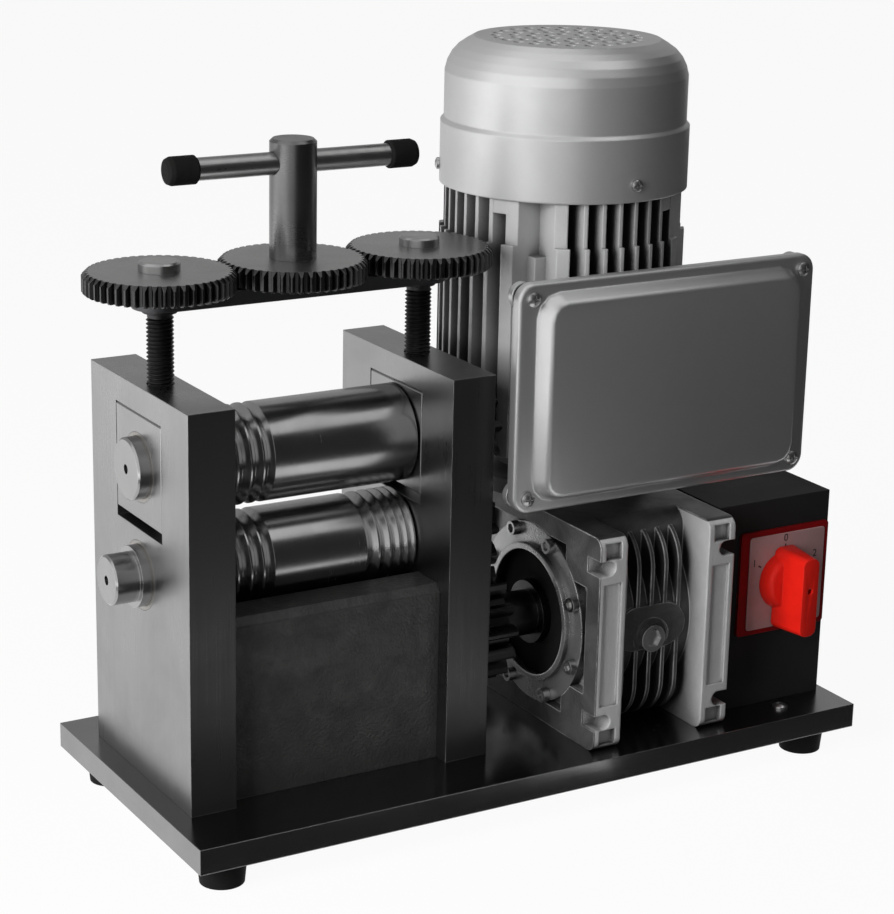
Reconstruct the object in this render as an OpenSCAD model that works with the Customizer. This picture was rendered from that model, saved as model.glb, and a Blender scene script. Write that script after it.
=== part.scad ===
// Powered bench rolling mill for wire, strip and bangles.
// Two steel rolls in a stand, a geared screw-down, a worm gearbox and a flanged motor on one base plate.
// Places are measured from the base plate's front left corner at the floor: X to the right, Y to the back, Z up.

/* [Base] */
// Length of the base plate
base_l = 405; // [402:1:450]
// Depth of the base plate, front to back
base_w = 180; // [165:1:220]
// Thickness of the base plate
base_t = 13.5; // [12.5:0.5:20]
// Height of a rubber foot
foot_h = 15.5; // [12:0.5:24]
// Diameter of a rubber foot where it meets the plate
foot_d = 26; // [22:1:34]
// Distance of a foot's axis from the plate's left or right end
foot_inset_x = 21; // [18:1:24]
// Distance of a foot's axis from the plate's front or back edge
foot_inset_y = 20; // [18:1:26]

/* [Roll stand] */
// Distance of the left upright from the plate's left end
stand_x = 12; // [2:1:14]
// Distance of the uprights from the plate's front edge
stand_y = 36.3; // [30:0.1:44]
// Thickness of an upright
upright_t = 25; // [22:1:28]
// Depth of an upright, front to back
upright_d = 118.5; // [110:0.5:130]
// Height of an upright above the lower roll's axis
upright_h = 99; // [94:1:120]
// Clear width between the uprights
roll_gap = 122; // [116:1:126]
// How far the bed block's front stands behind the uprights
bed_recess = 9; // [2:1:14]
// Height of the bed block above the base plate
bed_h = 97; // [86:1:100]
// Chamfer along the bed block's top edges
bed_chamfer = 4; // [1:0.5:8]
// Running space between the lower roll and its trough in the bed
trough_gap = 4; // [2:0.5:6]

/* [Rolls] */
// Diameter of a roll
roll_d = 52; // [49:0.5:53]
// Opening between the rolls as drawn, fully open
roll_opening = 5; // [4.8:0.1:6]
// Opening left when the rolls are screwed down
closed_gap = 0.4; // [0.3:0.1:1]
// Space between a roll's end and the upright
roll_end_gap = 1; // [0.5:0.1:2]
// Diameter of a roll journal
journal_d = 32; // [28:1:33]
// Wall of a bronze bush
bush_wall = 2; // [2:0.5:5]
// Width of the square bearing block of the upper roll
chock_w = 55.4; // [46:0.2:58]
// How far the upper journal stands out of the left upright
upper_stub = 7; // [6:1:14]
// Length of the lower roll's collar outside the left upright
lower_collar = 5.5; // [5:0.5:10]
// Diameter of the lower roll's stub for side rolls
stub_d = 26; // [20:1:27]
// Length of the lower roll's stub beyond its collar
stub_l = 13; // [10:1:15]
// Number of wire grooves at an end of a roll
groove_count = 5; // [2:1:5]
// Width of the widest wire groove, at the left end of both rolls
left_groove_w = 7.6; // [4:0.1:8]
// Width of the narrowest wire groove, at the right end of the lower roll
right_groove_w = 3.3; // [2:0.1:3.6]
// Land between two wire grooves
groove_land = 0.9; // [0.5:0.1:1.2]

/* [Roll gears] */
// Teeth on each roll gear
roll_teeth = 13; // [13:2:15]
// Teeth on the drive gear of the gearbox shaft
drive_teeth = 14; // [13:1:15]
// Face width of the roll gears and the drive gear
roll_gear_w = 20; // [12:1:22]
// Angle of the drive gear below the lower roll, from the vertical
drive_lean = 22.2; // [18:0.1:26]

/* [Screw-down] */
// Diameter of an adjusting screw
screw_d = 14; // [12:0.5:16]
// Teeth on each of the three adjusting gears
adj_teeth = 49; // [43:2:55]
// Thickness of an adjusting gear
adj_gear_t = 10.7; // [6:0.1:14]
// Height of the adjusting gears above the uprights
gear_lift = 46.7; // [40:0.1:60]
// Thickness of the yoke bar under the gears
yoke_t = 7.4; // [5:0.1:12]
// Width of the yoke bar
yoke_w = 28; // [24:1:40]
// Diameter of the round nut on a side gear
gear_nut_d = 21; // [17:1:30]
// Height of the round nut on a side gear
gear_nut_h = 5; // [5:0.5:10]
// Diameter of the handle post
post_d = 24; // [20:1:30]
// Height of the handle post above its gear
post_h = 60.6; // [56:0.2:80]
// Height of the cross bar above the gear
bar_h = 48.6; // [30:0.2:49]
// Diameter of the cross bar
bar_d = 11.5; // [8:0.5:13]
// Length of the cross bar over its caps
bar_l = 140; // [110:1:180]
// Diameter of a cross bar cap
cap_d = 14.5; // [14:0.5:20]
// Length of a cross bar cap
cap_l = 16.5; // [10:0.5:24]

/* [Gearbox] */
// Space between the right upright and the gearbox
drive_space = 51.2; // [48:0.1:56]
// Width of the gearbox housing, side to side
gb_w = 87; // [84:1:88]
// Height of the gearbox housing
gb_h = 120; // [116:1:124]
// Reach of the housing in front of the output axis
gb_front = 65; // [63:1:67]
// Reach of the housing behind the output axis
gb_back = 84; // [80:1:90]
// Width of each side flange of the housing
cheek_w = 17; // [15:0.5:21]
// Depth of the core's face behind the side flanges
core_recess = 24; // [18:0.5:24]
// Depth of the cooling fins' edges behind the side flanges
fin_recess = 13.5; // [8:0.5:14]
// Wall of the rounded housing over the worm wheel
wheel_wall = 9; // [7:0.5:14]
// Number of cooling fins between the side flanges
fin_count = 5; // [3:1:6]
// Distance between the worm axis and the output axis
worm_centres = 50; // [49:0.5:52]
// Teeth on the worm wheel
wheel_teeth = 30; // [28:1:30]
// Module of the worm and its wheel
wheel_module = 2.5; // [2.4:0.05:2.55]
// Diameter of the output shaft
shaft_d = 25; // [20:1:27]

/* [Motor] */
// Height of the flange between gearbox and motor
flange_h = 20; // [18:1:24]
// Height of the finned motor body below the cowl's rim
motor_h = 146.6; // [132:0.2:170]
// Radius of the motor body over its upper fins
fin_r = 65; // [62:0.5:65]
// How far the lower fins stand out past the upper fins
fin_step = 2.4; // [0.5:0.1:4]
// Pitch of the motor's cooling fins, eight on each side
fin_pitch = 9.6; // [8.4:0.1:9.8]
// Outside diameter of the fan cowl at its rim
cowl_d = 135.7; // [134.6:0.1:150]
// Height of the cowl's lower band, up to its step
cowl_band_h = 35.4; // [28:0.2:44]
// Height of the cowl's upper band
cowl_upper_h = 25; // [20:0.5:34]
// Height of the cowl's shoulder
cowl_shoulder_h = 18.5; // [12:0.5:24]
// Diameter of the cowl's flat top
cowl_top_d = 104; // [98:1:110]
// Wall of the cowl
cowl_t = 1.6; // [1:0.1:1.8]

/* [Capacitor box] */
// Width of the box on the front of the motor, over its lid
box_w = 186; // [170:1:188]
// Height of the box, over its lid
box_h = 121; // [112:1:124]
// Depth of the box behind its lid
box_d = 29.2; // [26:0.2:34]
// How much narrower the box is than its lid, at each side
box_inset_x = 24; // [18:1:30]
// How much lower the box is than its lid, at top and bottom
box_inset_z = 14; // [10:1:18]
// Depth of the lid's rim
lid_t = 7.5; // [5:0.5:10]
// Height of the lid's raised panel above its rim
lid_raise = 9; // [2:0.5:12]
// Wall of the box and the lid
box_wall = 3; // [2:0.5:4]

/* [Switch box] */
// Width of the switch box
switch_w = 75.5; // [70:0.5:76]
// Depth of the switch box
switch_box_d = 110; // [90:1:130]
// Height of the switch box
switch_h = 120; // [112:1:124]
// Distance of the switch box from the base plate's front edge
switch_y = 27; // [26.5:0.5:40]
// Thickness of the box's sheet steel
sheet_t = 1.5; // [1:0.1:3]
// Side of the square switch plate
plate_w = 60; // [50:1:64]
// Diameter of the switch knob's skirt
knob_d = 34; // [28:1:40]
// Length of the knob's grip
grip_l = 47.5; // [36:0.5:52]

/* [Hidden] */
$fn = 48;

// Clearances shared by every fit
slip = 0.05;        // radial running clearance of a shaft
seat = 0.1;         // radial clearance of a fixed screw, ring or spigot
face_gap = 0.2;     // axial clearance between faces that turn on each other
over = 1;           // how far a cutting shape passes the face it opens

// Heights and places of the stand
base_top = foot_h + base_t;
left_x0 = stand_x;
left_x1 = left_x0 + upright_t;
right_x0 = left_x1 + roll_gap;
right_x1 = right_x0 + upright_t;
roll_y = stand_y + upright_d / 2;
screw_x = [left_x0 + upright_t / 2, right_x0 + upright_t / 2];

// Gear train from the gearbox shaft to the rolls
roll_module = roll_d / roll_teeth;
drive_centres = roll_module * (roll_teeth + drive_teeth) / 2;
out_z = base_top + gb_h / 2;
out_y = roll_y - drive_centres * sin(drive_lean);
low_z = out_z + drive_centres * cos(drive_lean);
up_z = low_z + roll_d + roll_opening;
upright_top = low_z + upright_h;
roll_gear_x = right_x1 + 3;
roll_pressure = 25;
roll_backlash = 0.5;
drive_bearing = 270 - drive_lean;
drive_phase = drive_bearing + 180 + (0.5 - (90 - drive_bearing) * roll_teeth / 360) * 360 / drive_teeth;

// Upper bearing blocks and their windows
chock_gap = 0.1;
chock_top_gap = 0.5;
window_w = chock_w + 2 * chock_gap;
window_top = up_z + chock_w / 2 + chock_top_gap;
slot_spare = 0.4;
window_bottom = up_z - chock_w / 2 - (roll_opening - closed_gap) - slot_spare;
chock_top = up_z + chock_w / 2;
bush_d = journal_d + 2 * slip + 2 * bush_wall;
roll_x0 = left_x1 + roll_end_gap;
roll_l = roll_gap - 2 * roll_end_gap;
centre_hole_d = 5;

// Adjusting gears, yoke and handle
gear_pd = (screw_x[1] - screw_x[0]) / 2;
adj_module = gear_pd / adj_teeth;
adj_pressure = 20;
adj_backlash = 0.55;
gear_z = upright_top + gear_lift;
gear_top = gear_z + adj_gear_t;
yoke_z = gear_z - face_gap - yoke_t;
post_x = (screw_x[0] + screw_x[1]) / 2;
collar_d = screw_d + 4;
collar_t = 2.5;
neck_d = screw_d - 2;
tip_d = screw_d - 4;
tip_l = 8;
pivot_d = post_d / 2;

// Gearbox places
gb_x0 = right_x1 + drive_space;
gb_x1 = gb_x0 + gb_w;
gb_cx = gb_x0 + gb_w / 2;
gb_y0 = out_y - gb_front;
gb_y1 = out_y + gb_back;
gb_top = base_top + gb_h;
motor_y = out_y + worm_centres;
wheel_pd = wheel_module * wheel_teeth;
worm_pd = 2 * worm_centres - wheel_pd;
worm_lead = PI * wheel_module;
tooth_thin = 1;
wheel_cavity_r = wheel_pd / 2 + wheel_module + 2;
worm_cavity_r = worm_pd / 2 + wheel_module + 3;
cover_t = 6;
cover_d = 2 * wheel_cavity_r + 16;
spigot_l = 16;
recess_d = 70;
recess_t = 3;
cover_lip_t = 3.2;
cover_lip_h = 3;
hub_d = shaft_d + 10;
bearing_d = hub_d + 27;
bearing_w = 12;
bearing_x = [gb_x0 + cover_t + spigot_l - bearing_w, gb_x1 - cover_t - bearing_w];
worm_journal_d = 20;
worm_bearing_d = 42;
worm_bearing_z = [base_top + 8, gb_top - 8 - bearing_w];
seal_d = hub_d + 15;
slot_half_pitch = 43.5;
slot_w = 8.5;
slot_depth = 10;
cover_bolt_r = wheel_cavity_r + 4.5;
cover_bolt_count = 8;
plug_boss_w = 44;
plug_boss_h = 25;
plug_d = 13;
plug_drop = 5.5;
plug_face = out_y - wheel_cavity_r - wheel_wall - 0.5;
core_lift = 7;
cover_screw_reach = 9;
flange_bolt_reach = 10;
hole_spare = 2;

// Motor places
motor_z = gb_top + flange_h;
rim_z = motor_z + motor_h;
fin_depth = 17;
motor_wall = 5;
core_r = fin_r - fin_depth;
bore_r = core_r - motor_wall;
pad_y = motor_y - fin_r - fin_step - 1;
motor_shaft_d = 14;
shield_t = 12;
cowl_r = cowl_d / 2;
cowl_step = 1.8;
cowl_top = rim_z + cowl_band_h + cowl_upper_h + cowl_shoulder_h;
housing_top = rim_z + 16;
lug_r = cowl_r - cowl_t - 0.4;
motor_bearing_d = 35;
motor_bearing_w = 11;
worm_top = motor_z - 2;
worm_socket_l = 33;

// Capacitor box places
box_x0 = gb_cx - box_w / 2;
box_z0 = motor_z - 2;
box_flange_t = 4;
gasket_t = 1.5;
lid_y = pad_y - box_d - gasket_t - lid_t;
boss_inset = 8;

// Switch box places
switch_x0 = gb_x1 + 1.8;
plate_x = switch_x0 + switch_w - plate_w / 2 - 1;
plate_z = base_top + 73;
plate_t = 2;
knob_base_t = 9;
knob_reach = 24.5;
grip_drop = 3.8;
spindle_d = 8;

// Fasteners
m8_d = 8;
m8_head_d = 13;
m8_head_h = 8;
m6_d = 6;
m6_head_d = 10;
m6_head_h = 4;
m4_d = 4;
m4_head_d = 7.5;
m4_head_h = 2.6;
counterbore_t = m8_head_h + 0.5;

// The part's origin: middle of the whole machine's box on the floor
reach_left = min(0, screw_x[0] - gear_pd / 2 - adj_module);
reach_back = max(base_w, motor_y + cowl_r);
reach_front = min(0, switch_y - plate_t - face_gap - knob_reach);
origin = [(reach_left + base_l) / 2, (reach_front + reach_back) / 2, 0];

module in_frame() {
    translate(-origin) children();
}

// Cylinder along X from x0, at y and z
module along_x(x0, y, z, d, l) {
    translate([x0, y, z]) rotate([0, 90, 0]) cylinder(d = d, h = l);
}

// Cylinder along Y from y0, at x and z
module along_y(x, y0, z, d, l) {
    translate([x, y0, z]) rotate([-90, 0, 0]) cylinder(d = d, h = l);
}

// Flat outline with round corners, from the origin
module round_rect(w, h, r) {
    translate([r, 0]) square([w - 2 * r, h]);
    translate([0, r]) square([w, h - 2 * r]);
    for (x = [r, w - r], y = [r, h - r])
        translate([x, y]) circle(r = r);
}

// Solid ring standing on the XY plane
module ring(outer_d, inner_d, h) {
    difference() {
        cylinder(d = outer_d, h = h);
        translate([0, 0, -over]) cylinder(d = inner_d, h = h + 2 * over);
    }
}

// Ring along X from x0
module ring_x(x0, y, z, outer_d, inner_d, l) {
    translate([x0, y, z]) rotate([0, 90, 0]) ring(outer_d, inner_d, l);
}

// Hexagon socket screw: head on top, shank down from the origin
module socket_screw(d, head_d, head_h, l) {
    difference() {
        cylinder(d = head_d, h = head_h);
        translate([0, 0, head_h / 2]) cylinder(d = d * 0.9, h = head_h, $fn = 6);
    }
    translate([0, 0, -l]) cylinder(d = d, h = l);
}

// Round-head screw with a cross slot: head on top, shank down from the origin
module cross_screw(d, head_d, head_h, l) {
    slot = d / 5;
    difference() {
        intersection() {
            cylinder(d = head_d, h = head_h);
            translate([0, 0, head_h - head_d * 0.8]) sphere(d = head_d * 1.6);
        }
        for (a = [0, 90])
            rotate(a) translate([-d / 2, -slot / 2, head_h / 2]) cube([d, slot, head_h]);
    }
    translate([0, 0, -l]) cylinder(d = d, h = l);
}

// Involute gear outline
function inv(a) = tan(a) * 180 / PI - a;
function flank(r, rp, rb, pressure, half) =
    half + inv(pressure) - inv(acos(min(1, rb / max(r, rb))));
function polar(r, a) = [r * cos(a), r * sin(a)];
function gear_outline(module_mm, teeth, pressure, backlash, steps) =
    let (
        rp = module_mm * teeth / 2,
        rb = rp * cos(pressure),
        tip = rp + module_mm,
        root = rp - 1.25 * module_mm,
        half = 90 / teeth - backlash / 4 / rp * 180 / PI,
        radii = [for (i = [0 : steps]) root + (tip - root) * i / steps]
    )
    [for (k = [0 : teeth - 1], side = [-1, 1], i = [0 : steps])
        let (r = side < 0 ? radii[i] : radii[steps - i])
        polar(r, k * 360 / teeth + side * flank(r, rp, rb, pressure, half))];

// Places of the feet, the uprights' bolts and the gearbox bolts, seen from above
foot_places = [for (x = [foot_inset_x, base_l - foot_inset_x], y = [foot_inset_y, base_w - foot_inset_y]) [x, y]];
stand_bolts = [for (x = screw_x, y = [roll_y - upright_d / 3, roll_y + upright_d / 3]) [x, y]];
bed_bolts = [for (x = [left_x1 + roll_gap / 4, right_x0 - roll_gap / 4]) [x, roll_y]];
gearbox_bolt_places = [for (x = [gb_x0 + cheek_w / 2, gb_x1 - cheek_w / 2],
    y = [gb_y0 + 22, gb_y1 - 22]) [x, y]];
bolt_places = concat(stand_bolts, bed_bolts, gearbox_bolt_places);
earth_place = [switch_x0 + switch_w / 2 + 3, switch_y - 11];
bolt_reach = 16;
foot_screw_reach = 9;

module base_plate() {
    color("#2b2b2d") in_frame() difference() {
        translate([0, 0, foot_h]) cube([base_l, base_w, base_t]);
        for (p = bolt_places) {
            translate([p[0], p[1], foot_h - over]) cylinder(d = m8_d + 2 * seat, h = base_t + 2 * over);
            translate([p[0], p[1], foot_h - over]) cylinder(d = m8_head_d + 1, h = counterbore_t + over);
        }
        for (p = foot_places)
            translate([p[0], p[1], foot_h - over]) cylinder(d = m6_d + 2 * seat, h = foot_screw_reach + 2 * over);
        translate([earth_place[0], earth_place[1], base_top - 7]) cylinder(d = m4_d + 2 * seat, h = 7 + over);
    }
}

module rubber_feet() {
    taper = 3;
    pocket_d = m6_head_d + 3;
    pocket_h = foot_h / 2;
    color("#161616") in_frame() for (p = foot_places)
        translate([p[0], p[1], 0]) difference() {
            cylinder(d1 = foot_d - taper, d2 = foot_d, h = foot_h);
            translate([0, 0, -over]) cylinder(d = pocket_d, h = pocket_h + over);
            cylinder(d = m6_d + 2 * seat, h = foot_h + over);
        }
}

module foot_screws() {
    color("#8a8a8c") in_frame() for (p = foot_places)
        translate([p[0], p[1], foot_h / 2]) rotate([180, 0, 0])
            cross_screw(m6_d, m6_head_d, m6_head_h, foot_h / 2 + foot_screw_reach);
}

module earth_screw() {
    color("#b0b0b2") in_frame() translate([earth_place[0], earth_place[1], base_top])
        cross_screw(m4_d, m4_head_d + 1, m4_head_h, 6);
}

// One upright: window for the bearing block, hole for the lower bush and for the adjusting screw
module upright(x0) {
    difference() {
        translate([x0, stand_y, base_top]) cube([upright_t, upright_d, upright_top - base_top]);
        translate([x0 - over, roll_y - window_w / 2, window_bottom])
            cube([upright_t + 2 * over, window_w, window_top - window_bottom]);
        along_x(x0 - over, roll_y, low_z, bush_d + 2 * seat, upright_t + 2 * over);
        translate([x0 + upright_t / 2, roll_y, window_top - over])
            cylinder(d = screw_d + 2 * slip, h = upright_top - window_top + 2 * over);
        for (y = [roll_y - upright_d / 3, roll_y + upright_d / 3])
            translate([x0 + upright_t / 2, y, base_top - over])
                cylinder(d = m8_d + 2 * seat, h = bolt_reach + 1 + over);
    }
}

module left_upright() {
    color("#4a4a4c") in_frame() upright(left_x0);
}

module right_upright() {
    color("#4a4a4c") in_frame() upright(right_x0);
}

module bed_block() {
    front = stand_y + bed_recess;
    back = stand_y + upright_d - bed_recess;
    profile = [[front, 0], [back, 0], [back, bed_h - bed_chamfer], [back - bed_chamfer, bed_h],
        [front + bed_chamfer, bed_h], [front, bed_h - bed_chamfer]];
    color("#303032") in_frame() difference() {
        translate([left_x1, 0, base_top]) rotate([90, 0, 90]) linear_extrude(roll_gap) polygon(profile);
        along_x(left_x1 - over, roll_y, low_z, roll_d + 2 * trough_gap, roll_gap + 2 * over);
        for (p = bed_bolts)
            translate([p[0], p[1], base_top - over]) cylinder(d = m8_d + 2 * seat, h = bolt_reach + 1 + over);
    }
}

module base_bolts() {
    seat_z = foot_h + counterbore_t;
    color("#3a3a3c") in_frame() for (p = bolt_places)
        translate([p[0], p[1], seat_z]) rotate([180, 0, 0])
            socket_screw(m8_d, m8_head_d, m8_head_h, base_top - seat_z + bolt_reach);
}

module lower_bushes() {
    color("#a07840") in_frame() for (x = [left_x0, right_x0])
        ring_x(x, roll_y, low_z, bush_d, journal_d + 2 * slip, upright_t);
}

// Side flange of the gearbox: framed outer face, ring round the output, open bolt slots on its edge
module cheek(x0, outward) {
    frame_t = 12;
    sunk = 6;
    depth = gb_front + gb_back;
    face = outward < 0 ? x0 : x0 + cheek_w;
    sunk_x = outward < 0 ? x0 - over : x0 + cheek_w - sunk;
    difference() {
        translate([x0, gb_y0, base_top]) rotate([90, 0, 90]) linear_extrude(cheek_w) round_rect(depth, gb_h, 6);
        difference() {
            translate([sunk_x, gb_y0 + frame_t, base_top + frame_t]) rotate([90, 0, 90])
                linear_extrude(sunk + over) round_rect(depth - 2 * frame_t, gb_h - 2 * frame_t, 5);
            along_x(x0 - over, out_y, out_z, cover_d, cheek_w + 2 * over);
            for (y = [gb_y0 + 22, gb_y1 - 22], z = [base_top, gb_top - 30])
                translate([x0 - over, y - 11, z]) cube([cheek_w + 2 * over, 22, 30]);
        }
        for (side = [-1, 1]) {
            slot_z = out_z + side * slot_half_pitch;
            pocket_z = side < 0 ? base_top + 3 : gb_top - 12;
            slot_end = face - outward * (slot_depth - slot_w / 2);
            translate([min(slot_end, face + outward * over), gb_y0 - over, slot_z - slot_w / 2])
                cube([slot_depth - slot_w / 2 + over, frame_t + over, slot_w]);
            along_y(slot_end, gb_y0 - over, slot_z, slot_w, frame_t + over);
            translate([x0 + cheek_w / 2 - 5, gb_y0 - over, pocket_z]) cube([10, 4 + over, 9]);
        }
        translate([x0 + 3, gb_y0 - over, out_z - slot_half_pitch + 9])
            cube([cheek_w - 6, 1.5 + over, 2 * slot_half_pitch - 18]);
    }
}

// Room of the oval boss round the oil plug, from in front of the fins to the wheel's housing
module plug_boss() {
    translate([gb_cx - plug_boss_w / 2, gb_y0 + core_recess + wheel_wall, out_z - plug_boss_h / 2]) rotate([90, 0, 0])
        linear_extrude(core_recess + wheel_wall) round_rect(plug_boss_w, plug_boss_h, plug_boss_h / 2 - 0.01);
}

module gearbox_housing() {
    core_x0 = gb_x0 + cheek_w - over;
    core_w = gb_w - 2 * cheek_w + 2 * over;
    core_y0 = gb_y0 + core_recess;
    core_d = gb_front + gb_back - core_recess - 10;
    fin_y0 = gb_y0 + fin_recess;
    fin_gap = (gb_w - 2 * cheek_w) / (fin_count + 1);
    fin_t = 2.4;
    fin_corner = 24;
    color("#b9bbbd") in_frame() difference() {
        union() {
            translate([core_x0, core_y0, base_top + core_lift]) rotate([90, 0, 90])
                linear_extrude(core_w) round_rect(core_d, gb_h - core_lift, 10);
            along_x(core_x0, out_y, out_z, 2 * (wheel_cavity_r + wheel_wall), core_w);
            cheek(gb_x0, -1);
            cheek(gb_x1 - cheek_w, 1);
            difference() {
                for (i = [1 : fin_count])
                    translate([gb_x0 + cheek_w + i * fin_gap - fin_t / 2, fin_y0, base_top + core_lift / 2])
                        rotate([90, 0, 90]) linear_extrude(fin_t)
                            round_rect(core_d / 2, gb_h - core_lift, fin_corner);
                plug_boss();
            }
            intersection() {
                plug_boss();
                along_x(core_x0, out_y, out_z, 2 * (out_y - plug_face + 1), core_w);
            }
        }
        // Room for the wheel, its cover and the far bearing
        along_x(gb_x0 - over, out_y, out_z, cover_d + 2 * seat, cover_t + over);
        along_x(gb_x0, out_y, out_z, 2 * wheel_cavity_r, gb_w / 2 + 20);
        along_x(gb_x0, out_y, out_z, bearing_d + 2 * seat, bearing_x[1] + bearing_w - gb_x0);
        for (a = [0 : cover_bolt_count - 1])
            translate([gb_x0, out_y, out_z]) rotate([a * 360 / cover_bolt_count + 22.5, 0, 0])
                along_x(0, cover_bolt_r, 0, m6_d + 2 * seat, cover_t + cover_screw_reach + hole_spare);
        // Room for the worm and its two bearings
        translate([gb_cx, motor_y, worm_bearing_z[0]]) cylinder(d = worm_bearing_d + 2 * seat, h = gb_h);
        translate([gb_cx, motor_y, worm_bearing_z[0] + bearing_w]) cylinder(r = worm_cavity_r, h = gb_h / 2);
        // Oil plug and the bolts from the base and the motor flange
        along_y(gb_cx, plug_face - over, out_z - plug_drop, plug_d - 2 + 2 * seat, 8 + over);
        along_y(gb_cx, plug_face - 2, out_z - plug_drop, plug_d + 9, 2);
        for (p = gearbox_bolt_places)
            translate([p[0], p[1], base_top - over]) cylinder(d = m8_d + 2 * seat, h = bolt_reach + 1 + over);
        for (p = flange_bolt_places)
            translate([p[0], p[1], gb_top - flange_bolt_reach - hole_spare])
                cylinder(d = m6_d + 2 * seat, h = flange_bolt_reach + hole_spare + over);
    }
}

module gearbox_cover() {
    color("#b4b6b8") in_frame() difference() {
        union() {
            along_x(gb_x0, out_y, out_z, cover_d, cover_t);
            along_x(gb_x0 - cover_lip_h, out_y, out_z, recess_d + 2 * cover_lip_t, cover_lip_h + over);
            along_x(gb_x0 + cover_t, out_y, out_z, 2 * wheel_cavity_r - 2 * seat, spigot_l);
        }
        along_x(gb_x0 - cover_lip_h - over, out_y, out_z, recess_d, recess_t + cover_lip_h + over);
        along_x(gb_x0, out_y, out_z, seal_d + 2 * seat, cover_t + spigot_l);
        along_x(bearing_x[0], out_y, out_z, bearing_d + 2 * seat, bearing_w + over);
        for (a = [0 : cover_bolt_count - 1])
            translate([gb_x0, out_y, out_z]) rotate([a * 360 / cover_bolt_count + 22.5, 0, 0])
                along_x(-over, cover_bolt_r, 0, m6_d + 2 * seat, cover_t + 2 * over);
    }
}

module cover_screws() {
    color("#8e9092") in_frame() for (a = [0 : cover_bolt_count - 1])
        translate([gb_x0, out_y, out_z]) rotate([a * 360 / cover_bolt_count + 22.5, 0, 0])
            translate([0, cover_bolt_r, 0]) rotate([0, -90, 0])
                socket_screw(m6_d, m6_head_d - 2, m6_head_h, cover_t + cover_screw_reach);
}

module oil_seal() {
    dust_lip_t = 1.6;
    color("#1c1c1c") in_frame() {
        ring_x(gb_x0 + recess_t, out_y, out_z, seal_d, hub_d + 2 * slip, bearing_x[0] - gb_x0 - recess_t);
        ring_x(gb_x0 + recess_t - dust_lip_t, out_y, out_z, recess_d - 0.8, hub_d + 2 * slip, dust_lip_t);
    }
}

module oil_plug() {
    color("#9a9c9e") in_frame() translate([gb_cx, plug_face, out_z - plug_drop]) rotate([90, 0, 0])
        socket_screw(plug_d - 2, plug_d + 2, 3.5, 7);
}

module gearbox_bearings() {
    color("#c8c8ca") in_frame() {
        for (x = bearing_x)
            ring_x(x, out_y, out_z, bearing_d, hub_d + 2 * slip, bearing_w);
        for (z = worm_bearing_z)
            translate([gb_cx, motor_y, z]) ring(worm_bearing_d, worm_journal_d + 2 * slip, bearing_w);
    }
}

// Motor flange and its bolts
flange_d = 105;
flange_t = 9;
flange_neck_d = 64;
flange_bolt_r = 41;
flange_bolt_places = [for (a = [45 : 90 : 315]) [gb_cx + flange_bolt_r * cos(a), motor_y + flange_bolt_r * sin(a)]];

module motor_flange() {
    color("#9fa1a3") in_frame() difference() {
        translate([gb_cx, motor_y, gb_top]) union() {
            cylinder(d = flange_d, h = flange_t);
            cylinder(d = flange_neck_d, h = flange_h);
        }
        translate([gb_cx, motor_y, gb_top - over]) cylinder(d = worm_bearing_d, h = flange_h + 2 * over);
        for (p = flange_bolt_places)
            translate([p[0], p[1], gb_top - over]) cylinder(d = m6_d + 2 * seat, h = flange_t + 2 * over);
    }
}

module flange_bolts() {
    color("#8e9092") in_frame() for (p = flange_bolt_places)
        translate([p[0], p[1], gb_top + flange_t]) socket_screw(m6_d, m6_head_d, m6_head_h + 2, flange_t + flange_bolt_reach);
}

// Where a fin starts inside the motor's wall, at a distance from the middle fin line
function fin_root(offset) = sqrt(pow(core_r - motor_wall / 2, 2) - pow(offset, 2));

// Outline of four sets of parallel fins round the motor, cut to a round outside
module fin_outline(r) {
    fin_t = 2.2;
    outer_t = 6;
    edge = 3.5 * fin_pitch - fin_t / 2;
    outer_root = fin_root(edge + outer_t);
    intersection() {
        circle(r = r);
        for (a = [0 : 90 : 270]) rotate(a) {
            for (i = [-3 : 2]) {
                root = fin_root(abs(i + 0.5) * fin_pitch + fin_t / 2);
                translate([(i + 0.5) * fin_pitch - fin_t / 2, root]) square([fin_t, r - root]);
            }
            for (x = [-edge - outer_t, edge])
                translate([x, outer_root]) square([outer_t, r - outer_root]);
        }
    }
}

cowl_screw_angles = [for (k = [0 : 2]) -88.5 + 120 * k];
cowl_screw_z = rim_z + 9;

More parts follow.
